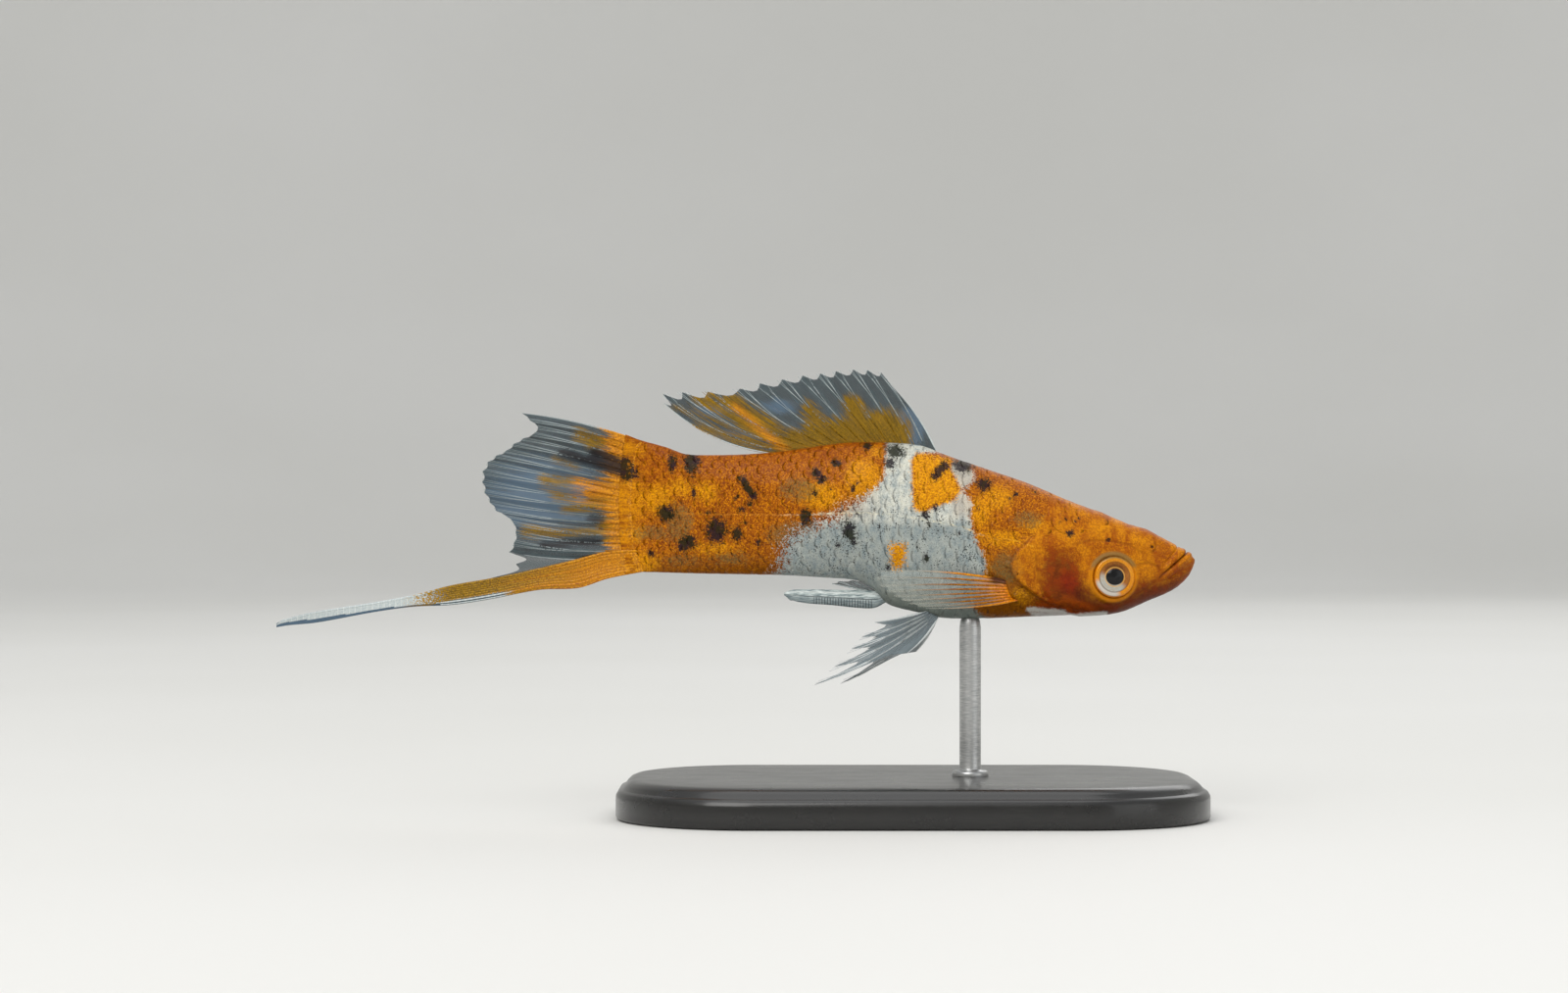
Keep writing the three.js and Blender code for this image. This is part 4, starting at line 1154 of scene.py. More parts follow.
class Fan:
    """A fin laid out between rays: a root and a tip for each, with its bow."""

    def __init__(self, roots, tips, bow, cup=0.0, rotate=None, place=(0, 0, 0), sink=0.0):
        self.roots, self.tips = np.array(roots, dtype=float), np.array(tips, dtype=float)
        self.bow = np.array(bow, dtype=float)
        self.cup, self.rotate, self.place, self.sink = cup, rotate, np.array(place, dtype=float), sink
        self.count = len(self.roots)

    def flat(self, ray, t):
        """x and z for ray numbers, which may lie between rays, and shares of the way to the tip."""
        ray = np.clip(ray, 0, self.count - 1)
        at = np.arange(self.count)
        x0, z0 = (np.interp(ray, at, self.roots[:, k]) for k in range(2))
        x1, z1 = (np.interp(ray, at, self.tips[:, k]) for k in range(2))
        bow = 4 * t * (1 - t) * np.interp(ray, at, self.bow)
        return x0 + (x1 - x0) * t - (z1 - z0) * bow, z0 + (z1 - z0) * t + (x1 - x0) * bow

    def points(self, ray, t, out=0.0):
        """The fin's points, moved out of its plane by out."""
        ray, t, out = np.broadcast_arrays(ray, t, out)
        x, z = self.flat(ray, t)
        laid = np.stack([x, self.cup * t**2 + out + self.sink * smooth(0.16, 0.0, t), z], axis=-1)
        if self.rotate is not None:
            laid = laid @ self.rotate.T
        return laid + self.place


def rotation(axis, angle):
    """The matrix of a turn about an axis, in radians."""
    c, s = math.cos(angle), math.sin(angle)
    if axis == "x":
        return np.array([[1, 0, 0], [0, c, -s], [0, s, c]])
    if axis == "y":
        return np.array([[c, 0, s], [0, 1, 0], [-s, 0, c]])
    return np.array([[c, -s, 0], [s, c, 0], [0, 0, 1]])


# The field of a pigment that a fin doesn't have
ABSENT = -3.0


def pigment_fields(pigments, x, z):
    """The fields of the pigments that a fin has, and ABSENT for the others."""
    fields = {name: np.full(x.shape, ABSENT) for name in ("orange", "blue", "soot", "bright", "flesh")}
    fields.update(pigments(x, z))
    return fields


def laid_out(pleat, wave, ray, t):
    """How far a fin bends out of its plane: folds along its rays, and slow waves."""
    return pleat * np.cos(np.pi * ray) * smooth(0.06, 0.4, t) + wave * np.sin(ray * 0.9 + t * 3.0) * t**2


def membrane(
    name, fan, material, node, pigments, pleat=0.0, notch=0.03, rows=44, between=5, web=0.1, mirror=1,
    wave=0.0,
):
    """A thin closed sheet, folded along the rays and drawn in between their tips."""
    rays = np.linspace(0, fan.count - 1, (fan.count - 1) * between + 1)
    drawn = 1 - notch * np.sin(np.pi * (rays % 1)) ** 1.2
    t = np.linspace(0, 1, rows)[:, None] * drawn[None, :]
    ray = np.broadcast_to(rays, t.shape)
    bend = laid_out(pleat, wave, ray, t)
    thick = web * (0.5 - 0.33 * t)
    points = np.vstack([fan.points(ray, t, bend + side * thick).reshape(-1, 3) for side in (-1, 1)])
    x, z = (np.tile(v.ravel(), 2) for v in fan.flat(ray, t))
    fields = {"along": np.tile(t.ravel(), 2), "ray": np.tile(ray.ravel(), 2)}
    fields.update(pigment_fields(pigments, x, z))
    faces = sheet_faces(rows, len(rays), mirror)
    return mesh_object(name, points * (1, mirror, 1), faces, fields, None, material, "fin", (node,))


def ray_piece(
    name, fan, material, node, pigments, root=0.17, tip=0.05, fork=(0.45, 0.7), spread=0.16, joint=0.45,
    mirror=1, pleat=0.0, steps=60, first_root=None, wave=0.0,
):
    """Jointed rays that fork towards their tips, as closed tubes."""
    paths, radii, marks = [], [], []
    t = np.linspace(0, 1, steps)
    for i in range(fan.count):
        thick = first_root if first_root and i == 0 else root
        for branch in (0.0,) if i in (0, fan.count - 1) else (-1.5, -0.5, 0.5, 1.5):
            ray = np.full(steps, float(i))
            radius = (thick + (tip - thick) * t**0.8) * (0.25 + 0.75 * smooth(0.03, 0.24, t))
            if branch:
                first = math.copysign(spread, branch)
                second = (branch - math.copysign(1, branch)) * spread * 0.95
                ray += first * smooth(fork[0], 1.05, t) + second * smooth(fork[1], 1.1, t)
                radius *= 1 - 0.3 * smooth(fork[0], fork[0] + 0.1, t) - 0.15 * smooth(fork[1], 1, t)
            path = fan.points(ray, t, laid_out(pleat, wave, ray, t))
            run = run_along(path)
            radius *= 1 - 0.12 * (np.cos(2 * np.pi * run / joint) > 0.75)
            paths.append(path)
            radii.append(radius)
            marks.append(np.column_stack([run / joint, t, ray, *fan.flat(ray, t)]))
    sides = 6
    points, faces = tubes(paths, radii, sides)
    run, along, ray, x, z = np.repeat(np.vstack(marks), sides, axis=0).T
    if mirror < 0:
        faces = [f[:, ::-1] for f in faces]
    fields = {"run": run, "along": along, "ray": ray, **pigment_fields(pigments, x, z)}
    return mesh_object(name, points * (1, mirror, 1), faces, fields, None, material, "fin", (node,))


def membrane_material(name, clear=0.68, veil=0.0):
    """Smoky web, silvery where veil is greater, with pigment in streaks that follow the rays."""
    colours = bpy.context.scene.swordtail_colours
    p = Paint(name)
    place = p.place()
    along, ray = p.field("along"), p.field("ray")
    streaks = p.ray_noise(1.5, 3.2, 1.3) - 0.5
    fibre = p.ray_noise(3.0, 13.0, 1.4, 3.0, 0.6).climb(0.36, 0.64)
    fine_grain = p.noise(place, 7.0, 3.0, 0.65).climb(0.38, 0.62)
    smoke = p.noise(place, 0.5, 3.0, 0.6).climb(0.35, 0.65)
    near_ray = ((ray * (2 * math.pi) + math.pi / 2).sine() + along * 0.9).climb(-0.8, 1.0)
    blue = (p.field("blue") + streaks * 1.2).climb(-0.3, 0.5)
    orange_share = (p.field("orange") + streaks * 2.6 + (fibre - 0.5) * 0.8).climb(-0.25, 0.55)
    shade = fibre * 0.6 + fine_grain * 0.4
    olive = p.mix(shade, (80, 62, 2), (160, 120, 2))
    bright = p.mix(shade, (160, 86, 2), (236, 158, 4))
    pigment = p.mix((p.field("bright") + streaks * 1.4).climb(-0.6, 0.8), olive, bright)
    flesh = (p.field("flesh") + streaks * 3.2 + (fibre - 0.5) * 0.6).climb(-0.3, 0.5)
    orange, grain, _, _ = grained_orange(p, place)
    black_share = (p.field("soot") + streaks * 1.5 + (fibre - 0.5) * 0.5).climb(-0.2, 0.25)
    colour = p.layers(
        p.mix(smoke, colours.clear, (52, 66, 72)),
        (near_ray * 0.5 + fibre * 0.2, (84, 98, 102)),
        (veil, (148, 162, 168)),
        (blue * 0.55, (92, 122, 150)),
        (orange_share, pigment),
        (flesh, p.mix(0.25 + grain * 0.4, orange, colours.gold)),
        (black_share * 0.94, (22, 18, 22)),
    )
    alpha = clear + near_ray * 0.1 + orange_share * (0.94 - clear) + flesh
    alpha = (alpha + black_share * 0.5 + streaks * 0.1 * (1.0 - orange_share)).limit()
    normal = p.relief(near_ray * 0.5 + fibre * 0.3 + grain * 0.2, 0.05, 0.7)
    return p.finish(
        colour, 0.34, Alpha=alpha, Normal=normal, Coat_Weight=0.12, Coat_Roughness=0.1,
        Specular_IOR_Level=0.2,
    )


def ray_material(name, dim=0.0):
    """Pale jointed rays with painted highlights at the joints, greyer where dim is greater and whiter below
    0, with the web's pigments.
    """
    colours = bpy.context.scene.swordtail_colours
    p = Paint(name)
    place = p.place()
    along = p.field("along")
    grain = p.noise(place, 6.0, 2.0, 0.6).climb(0.38, 0.62)
    own = p.ray_noise(1.5, 1.7, 1.3) - 0.5
    joints = (p.field("run") * math.pi).sine().size().climb(0.22, 0.05)
    orange_share = (p.field("orange") + (grain - 0.5) * 0.8).climb(0.0, 0.7)
    amber = p.mix(grain, (108, 80, 2), (176, 132, 4))
    bright = p.mix(grain, (166, 92, 2), (228, 154, 4))
    flesh = (p.field("flesh") + own * 2.6 + (grain - 0.5) * 0.5).climb(-0.6, 0.2)
    orange, coarse, _, _ = grained_orange(p, place)
    black_share = (p.field("soot") + (grain - 0.5) * 0.8).climb(-0.2, 0.3)
    colour = p.layers(
        p.mix(grain * 0.4, (186, 196, 198), (226, 230, 226)),
        # Painted highlights at the joints
        (joints * 0.5, (246, 248, 242)),
        (abs(dim), (84, 98, 102) if dim > 0 else (255, 255, 255)),
        (orange_share, p.mix((p.field("bright") + own * 2.4).climb(-0.6, 0.8), amber, bright)),
        (flesh, p.mix(0.4 + coarse * 0.4, orange, colours.gold)),
        (black_share * 0.92, (36, 30, 32)),
        (joints * orange_share * 0.25, (112, 70, 2)),
    )
    alpha = 0.96 - along.climb(0.5, 1.0) * 0.2
    return p.finish(colour, 0.34, Alpha=alpha, Coat_Weight=0.15, Coat_Roughness=0.1, Specular_IOR_Level=0.2)


def pectoral_web_material():
    """Nearly clear web with a white veil, orange flesh at its root and a brown streak on its first rays."""
    p = Paint("pectoral_web")
    along, ray = p.field("along"), p.field("ray")
    fibre = p.ray_noise(3.0, 8.0, 1.4, 3.0, 0.6).climb(0.38, 0.62)
    root = (along + (fibre - 0.5) * 0.14).climb(0.36, 0.14)
    brown = (ray + (fibre - 0.5) * 0.8).climb(1.9, 1.2) * along.climb(0.05, 0.08) * along.climb(0.25, 0.17)
    colour = p.layers(
        p.mix(fibre, (176, 184, 180), (214, 216, 206)),
        (root, p.mix(p.noise(p.place(), 4.0, 3.0, 0.6).climb(0.4, 0.6), (206, 106, 4), (248, 152, 10))),
        (brown * 0.9, (72, 22, 4)),
    )
    alpha = 0.08 + fibre * 0.08 + root * 0.85
    return p.finish(colour, 0.3, Alpha=alpha, Coat_Weight=0.3, Coat_Roughness=0.1, Specular_IOR_Level=0.2)


def pectoral_ray_material():
    """Orange rays that pale and clear away from the body, with a brown streak on the first."""
    p = Paint("pectoral_ray")
    along, ray = p.field("along"), p.field("ray")
    grain = p.noise(p.place(), 7.0, 3.0, 0.6).climb(0.38, 0.62)
    streak = p.ray_noise(1.2, 1.7, 2.0) - 0.5
    fade = (along + streak * 0.6).climb(0.40, 0.85)
    brown = ray.climb(1.5, 0.8) * along.climb(0.04, 0.07) * (along + streak * 0.2).climb(0.24, 0.17)
    colour = p.layers(
        p.mix(grain, (184, 100, 2), (238, 158, 6)),
        (brown * 0.95, (58, 16, 4)),
        (along.climb(0.05, 0.015) * ray.climb(1.8, 0.8) * 0.8, (226, 216, 196)),
        (fade, (196, 196, 182)),
    )
    alpha = 0.96 - fade * 0.62
    return p.finish(colour, 0.32, Alpha=alpha, Coat_Weight=0.2, Coat_Roughness=0.1, Specular_IOR_Level=0.2)


DORSAL_TIPS = [
    (-7.4, 23.1), (-9.1, 25.15), (-10.5, 25.4), (-11.95, 25.45), (-13.7, 25.3), (-15.3, 25.05),
    (-17.1, 24.85), (-19.2, 24.45), (-21.45, 24.05), (-23.5, 23.5), (-26.8, 23.2), (-29.4, 23.15),
    (-31.4, 23), (-31.2, 22),
]
TAIL_EDGE = [
    (-45.8, 21), (-45, 20.3), (-44.2, 19.7), (-44.2, 19.1), (-44.9, 18.75), (-46.35, 18.15), (-47.2, 17.35),
    (-48.5, 16.65), (-49.4, 15.95), (-49.8, 15.15), (-49.9, 14.15), (-49.75, 13.15), (-49.45, 12.45),
    (-49, 11.65), (-48.4, 10.95), (-47.6, 10.6), (-46.9, 10.05), (-46.5, 9.5), (-46.45, 8.65),
    (-46.65, 7.65), (-47.15, 6.8),
]
SWORD_TOP = [
    (-71.2, -0.55), (-70.3, -0.1), (-67, 0.7), (-61, 1.65), (-57, 2.4), (-53, 3.4), (-49, 4.1), (-44, 5.15),
    (-40, 6.1), (-37, 6.9), (-32.9, 7.1),
]
SWORD_BOTTOM = [
    (-71.2, -0.95), (-70, -0.75), (-67, -0.45), (-61, 0.65), (-57, 1.2), (-53, 1.4), (-49, 2), (-44, 2.95),
    (-40, 3.15), (-37, 4.1), (-32.9, 4.9),
]


# Pigments lie along streaks, as from, to, half width, and in oval spots


def dorsal_pigments(x, z):
    streaks = [
        ((-18.5, 17.2), (-27.5, 22.8), 0.9), ((-17.5, 17.6), (-24.5, 22.4), 0.9),
        ((-19, 17), (-28, 19.6), 0.5), ((-20, 18), (-30, 21.6), 0.3), ((-18.5, 17.4), (-6.8, 18.2), 2.2),
        ((-16, 18.3), (-8.4, 19.6), 1.9), ((-10.4, 18), (-11.9, 22), 1.2), ((-14, 18.5), (-16.5, 21.3), 0.9),
    ]
    blue = [(-19.5, 21.7, 2, 0.8), (-26, 21.3, 2.4, 0.7), (-24, 18.8, 2, 0.5), (-6.2, 19.5, 1.6, 2.2)]
    bright = [((-19, 17.3), (-24, 21.6), 0.7), ((-17, 17), (-9, 17.6), 0.6)]
    return {
        "orange": np.minimum(streak_field(streaks, x, z), (-6 - x) * 0.9),
        "blue": spot_field(blue, x, z),
        "bright": streak_field(bright, x, z) - 0.35,
    }


def tail_pigments(x, z):
    streaks = [
        ((-33, 12.4), (-38.2, 12.7), 1.7), ((-33, 15.8), (-35.4, 16.8), 1.8),
        ((-34, 17.4), (-38.6, 18.2), 0.9), ((-35.5, 17), (-40, 18.9), 0.6),
        ((-35, 13.2), (-43.5, 14.2), 0.6), ((-36, 12.4), (-42.5, 12.6), 0.5),
        ((-36, 11.6), (-41.4, 11.3), 0.45), ((-33, 9.8), (-37, 9.6), 1.3), ((-37, 8.9), (-45.5, 8.9), 0.42),
        ((-33, 7.9), (-37, 8.3), 0.8), ((-40.3, 15.6), (-42.4, 16.3), 0.24),
    ]
    soot = [
        ((-34.2, 14.9), (-38.3, 16.4), 0.9), ((-36, 15.2), (-41.6, 17), 0.42),
        ((-37.6, 10.2), (-38.8, 10.2), 0.3), ((-38, 7.9), (-43.5, 7.5), 0.32),
    ]
    bright = streak_field([((-33, 13.2), (-39.5, 13.4), 1.3), ((-33, 16.4), (-36, 17.2), 1.4)], x, z)
    return {
        "orange": np.maximum(streak_field(streaks, x, z), np.clip((x + 37.2) * 0.5, -3, 1.5)),
        "blue": spot_field([(-44, 12.5, 6, 4), (-40.6, 14.6, 2.5, 1.2)], x, z) * 0.25,
        "soot": streak_field(soot, x, z),
        "bright": np.maximum(bright, np.clip((x + 35.4) * 0.8, -3, 1)),
        "flesh": np.clip((x + 37.3) * 0.65, -3, 2),
    }


def sword_pigments(x, z):
    margin = smooth(-45, -49, x) * smooth(1.35, 1.75, through(SWORD_TOP)(x) - z)
    return {
        "orange": np.minimum((x + 57.3) * 0.25, 1.5) - 2.2 * margin,
        "blue": np.minimum((-55 - x) * 0.15, 0.6),
        "bright": np.clip((x + 45) * 0.09, -0.7, 0.6),
        "flesh": np.clip((x + 36.8) * 0.35, -3, 2),
    }


def plain_pigments(x, z):
    return {"blue": np.full(x.shape, -0.6)}


class SWORDTAIL_OT_dorsal_fin(bpy.types.Operator):
    """The tall back fin, swept over the tail stalk"""

    bl_idname = "swordtail.dorsal_fin"
    bl_label = "Dorsal fin"

    def execute(self, context):
        count = len(DORSAL_TIPS)
        roots = np.linspace((-3.3, 17.4), (-18.7, 17.4), count)
        roots[:, 1] = np.minimum(roots[:, 1], back_z(roots[:, 0]) - 0.5)
        fan = Fan(roots, DORSAL_TIPS, np.linspace(-0.05, 0.09, count))
        shared = {"node": "dorsal_fin", "pigments": dorsal_pigments, "pleat": 0.09, "wave": 0.2}
        membrane(
            "dorsal_membrane", fan, membrane_material("dorsal_membrane"), notch=0.07,
            web=context.scene.swordtail_sizes.web / MM, **shared,
        )
        ray_piece(
            "dorsal_rays", fan, ray_material("dorsal_rays"), root=0.12, tip=0.04, fork=(0.45, 0.75),
            spread=0.17, **shared,
        )
        return {"FINISHED"}


class SWORDTAIL_OT_tail_fin(bpy.types.Operator):
    """The fan of the tail with its folded rays, and the clear web between it and the sword"""

    bl_idname = "swordtail.tail_fin"
    bl_label = "Tail fin"

    def execute(self, context):
        web = context.scene.swordtail_sizes.web / MM
        count = 19
        roots = np.linspace((-32.7, 17.7), (-32.7, 6.6), count)
        roots[:, 0] -= 1 - ((roots[:, 1] - 12.1) / 5.6) ** 2
        fan = Fan(roots, spline(TAIL_EDGE, count), np.linspace(-0.035, 0.045, count))
        shared = {"node": "tail_fin", "pigments": tail_pigments, "pleat": 0.13, "wave": 0.25}
        membrane(
            "tail_membrane", fan, membrane_material("tail_membrane", 0.74), notch=0.014, web=web, rows=64,
            between=8, **shared,
        )
        ray_piece(
            "tail_rays", fan, ray_material("tail_rays", 0.45), root=0.15, tip=0.045, fork=(0.3, 0.6),
            spread=0.2, steps=80, **shared,
        )
        clear = Fan(
            [(-33.2, 7.4), (-33.2, 7), (-33.2, 6.6)], [(-47, 6.75), (-46.4, 5.6), (-49, 4.15)],
            [0.045, 0.03, 0.02],
        )
        membrane(
            "tail_web", clear, membrane_material("tail_web", 0.5), "tail_fin", plain_pigments, pleat=0.05,
            notch=0.1, web=web * 0.8, rows=40, between=8, wave=0.2,
        )
        return {"FINISHED"}


class SWORDTAIL_OT_sword(bpy.types.Operator):
    """The long lower lobe of the tail fin"""

    bl_idname = "swordtail.sword"
    bl_label = "Sword"

    # How far before the tip each ray ends, from the top one down
    RAY_ENDS = (0.2, 0.1, 0.0, 0.5, 1.2, 3.0, 7.0, 12.0, 17.0)
    JOINT = 0.6

    def execute(self, context):
        rays, steps, sides, columns = len(self.RAY_ENDS), 150, 8, 31
        x = np.linspace(-31.6, SWORD_TIP_X, steps)
        top, bottom = through(SWORD_TOP)(x), through(SWORD_BOTTOM)(x)
        run = np.abs(x - x[0])
        rise = 0.25 + 0.75 * smooth(-32.2, -37.5, x)
        paths, radii, numbers = [], [], []
        for i, (share, end) in enumerate(zip(np.linspace(0, 1, rays), self.RAY_ENDS)):
            inset = 0.5 * np.minimum(0.26, (top - bottom) / 3)
            z = top - inset + (bottom - top + 2 * inset) * share
            keep = x >= SWORD_TIP_X + end
            size = (0.22 if i == 0 else 0.17) * (1 - 0.45 * run / run[-1]) * (0.75 if i == rays - 1 else 1.0)
            size = size * (1 - 0.04 * (np.cos(2 * np.pi * run / self.JOINT) > 0.7)) * rise
            size = np.minimum(size, 0.55 * (top - bottom) / 2)
            paths.append(np.column_stack([x, 0 * x, z])[keep])
            radii.append(size[keep])
            numbers.append(np.full(int(keep.sum()) * sides, float(i)))
        points, faces = tubes(paths, radii, sides, squash=1.15)
        self.piece(
            "sword_rays", points, faces, ray_material("sword_rays"), run=-points[:, 0] / self.JOINT,
            along=(x[0] - points[:, 0]) * 0.02, ray=np.concatenate(numbers),
        )
        across = np.linspace(0, 1, columns)
        z = top[:, None] + (bottom - top)[:, None] * across[None, :]
        fold = 0.5 + 0.5 * np.cos(2 * np.pi * across * (rays - 1))
        girth = (0.15 + 0.03 * fold)[None, :] * (rise * (1 - 0.6 * np.linspace(0, 1, steps)))[:, None]
        girth = girth * np.sqrt(np.clip(1 - (2 * across - 1) ** 8, 0.02, 1))[None, :]
        at_x = np.broadcast_to(x[:, None], z.shape)
        points = np.vstack([np.stack([at_x, side * girth, z], axis=-1).reshape(-1, 3) for side in (-1, 1)])
        self.piece(
            "sword_membrane", points, sheet_faces(steps, columns, -1),
            membrane_material("sword_membrane", 0.8),
            along=np.tile(np.repeat(np.linspace(0, 3, steps), columns), 2),
            ray=np.tile(across * (rays - 1), 2 * steps),
        )
        return {"FINISHED"}

    @staticmethod
    def piece(name, points, faces, material, **fields):
        fields.update(pigment_fields(sword_pigments, points[:, 0], points[:, 2]))
        mesh_object(name, points, faces, fields, None, material, "sword", ("sword",))


PELVIC_TIPS = [(-3.1, -4), (-12.8, -7.4), (-10.6, -5.4), (-8.8, -3.6), (-7.7, -2.3), (-6.3, -0.8)]
PELVIC_PLACE = (-3.6, -1.2, 0.35)
PELVIC_SPLAY = 0.32
PELVIC_SWING = {"right": (0.0, 0.1), "left": (-0.05, 0.5)}
PECTORAL_EDGE = [(-13.6, 2.2), (-14, 1.2), (-12.8, 0), (-11, -1), (-9, -1.6)]
PECTORAL_PLACE = (4.2, -4.0, 2.9)
PECTORAL_TURN, PECTORAL_TILT = 0.2, -0.12


class SWORDTAIL_OT_paired_fins(bpy.types.Operator):
    """The pelvic and the pectoral fins of both sides"""

    bl_idname = "swordtail.paired_fins"
    bl_label = "Paired fins"

    def execute(self, context):
        web = context.scene.swordtail_sizes.web / MM
        silver = membrane_material("pelvic_membrane", 0.55, veil=0.6)
        silver_rays = ray_material("pelvic_rays", -0.25)
        amber, amber_rays = pectoral_web_material(), pectoral_ray_material()
        for side, mirror in (("right", 1), ("left", -1)):
            swing, yaw = PELVIC_SWING[side]
            turn = rotation("z", yaw) @ rotation("y", swing) @ rotation("x", -PELVIC_SPLAY)
            count = len(PELVIC_TIPS)
            roots = np.linspace((0.3, -0.1), (-0.9, 0.5), count)
            fan = Fan(roots, PELVIC_TIPS, np.linspace(0.05, 0.02, count), -0.4, turn, PELVIC_PLACE)
            shared = {
                "node": f"pelvic_fin_{side}", "pigments": plain_pigments, "pleat": 0.1, "mirror": mirror,
            }
            membrane(f"pelvic_membrane_{side}", fan, silver, notch=0.3, web=web, **shared)
            ray_piece(
                f"pelvic_rays_{side}", fan, silver_rays, root=0.19, tip=0.035, fork=(0.3, 0.6), spread=0.17,
                **shared,
            )
            turn = rotation("z", PECTORAL_TURN) @ rotation("x", PECTORAL_TILT)
            count = 9
            roots = np.linspace((0.6, 0.85), (0.6, -0.85), count)
            tips = spline(PECTORAL_EDGE, count)
            fan = Fan(roots, tips, np.linspace(-0.03, 0.03, count), 0.5, turn, PECTORAL_PLACE, 0.75)
            shared.update(node=f"pectoral_fin_{side}", pleat=0.06)
            membrane(f"pectoral_membrane_{side}", fan, amber, notch=0.03, web=web * 0.8, **shared)
            ray_piece(
                f"pectoral_rays_{side}", fan, amber_rays, root=0.16, tip=0.025, fork=(0.5, 0.8), spread=0.14,
                first_root=0.2, **shared,
            )
        return {"FINISHED"}


GONOPODIUM_TOP = [(-19, 2.7), (-18, 3), (-14, 3), (-11, 2.95), (-8.6, 2.85), (-7.6, 2.9)]
GONOPODIUM_BOTTOM = [
    (-19, 2.4), (-17.6, 1.75), (-14, 1.4), (-11, 1.1), (-9.7, 1.15), (-8.7, 1.65), (-7.6, 2.3),
]


class SWORDTAIL_OT_gonopodium(bpy.types.Operator):
    """The rod-like anal fin of the male, jointed along its lower half"""

    bl_idname = "swordtail.gonopodium"
    bl_label = "Gonopodium"

    JOINT = 0.28
    HALF_WIDTH = 0.4

    def execute(self, context):
        steps, around = 220, 40
        x = np.linspace(-7.6, -19.0, steps)
        top, bottom = through(GONOPODIUM_TOP)(x), through(GONOPODIUM_BOTTOM)(x)
        turn = np.linspace(0, 2 * np.pi, around, endpoint=False)
        up = np.sin(turn)
        wide = self.HALF_WIDTH * (1 - 0.45 * smooth(-12, -19, x))
        joint = np.cos(2 * np.pi * x / self.JOINT)
        jointed = smooth(-9.6, -10.2, x) * smooth(-16.6, -15.6, x)
        groove = 1 - 0.16 * (smooth(0.1, 0.9, joint) * jointed)[:, None] * smooth(0.05, -0.25, up)[None, :]
        waist = 1 - 0.24 * bump(up + 0.02, 0.12)[None, :] * smooth(-18.4, -17.4, x)[:, None]
        hook = 0.16 * bump(x + 18.4, 0.25)[:, None] * smooth(-0.2, -1.0, up)[None, :]
        ring_y = wide[:, None] * np.cos(turn)[None, :] * groove * waist
        ring_z = ((top + bottom) / 2)[:, None] + ((top - bottom) / 2)[:, None] * up[None, :] - hook
        points = np.stack([np.broadcast_to(x[:, None], ring_z.shape), ring_y, ring_z], axis=-1).reshape(-1, 3)
        fields = {"bar": np.repeat(joint * jointed, around), "low": np.tile(-up, steps)}
        mesh_object(
            "gonopodium_rod", points, tube_faces(steps, around), fields, None, gonopodium_material(), "fin",
            ("gonopodium",),
        )
        roots = np.linspace((-10.3, 2.8), (-9.0, 2.7), 4)
        fan = Fan(roots, [(-14.1, 3.62), (-13.4, 3.85), (-12.0, 3.95), (-10.9, 3.9)], [0.0, 0.02, 0.04, 0.05])
        shared = {"node": "gonopodium", "pigments": plain_pigments, "pleat": 0.05}
        membrane("anal_web", fan, membrane_material("anal_web", 0.5), notch=0.05, web=0.12, rows=24, **shared)
        ray_piece("anal_rays", fan, ray_material("anal_rays"), root=0.12, tip=0.05, steps=24, **shared)
        return {"FINISHED"}


def gonopodium_material():
    """Silver, streaked along the rod, with painted shade over its lower half, dark joints below, a dark seam
    and a painted highlight along its upper side.
    """
    p = Paint("gonopodium")
    low, bar = p.field("low"), p.field("bar")
    grain = p.noise(p.place(0.3, 1.0, 3.4), 4.0, 3.0, 0.6).climb(0.36, 0.64)
    colour = p.layers(
        p.mix(grain, (112, 130, 134), (216, 226, 224)),
        # Painted shade over the lower half
        (low.climb(0.0, 0.25) * 0.6, (92, 108, 114)),
        (bar.climb(0.25, 0.8) * low.climb(-0.05, 0.2) * 0.8, (34, 44, 50)),
        (low.size().climb(0.12, 0.03) * 0.7, (52, 66, 72)),
        # Painted highlight along the upper side
        ((low + 0.62).size().climb(0.16, 0.02) * 0.5, (236, 240, 236)),
    )
    return p.finish(colour, 0.3, Normal=p.relief(grain, 0.03, 0.5), Coat_Weight=0.5, Coat_Roughness=0.12)


# The stand and the stage


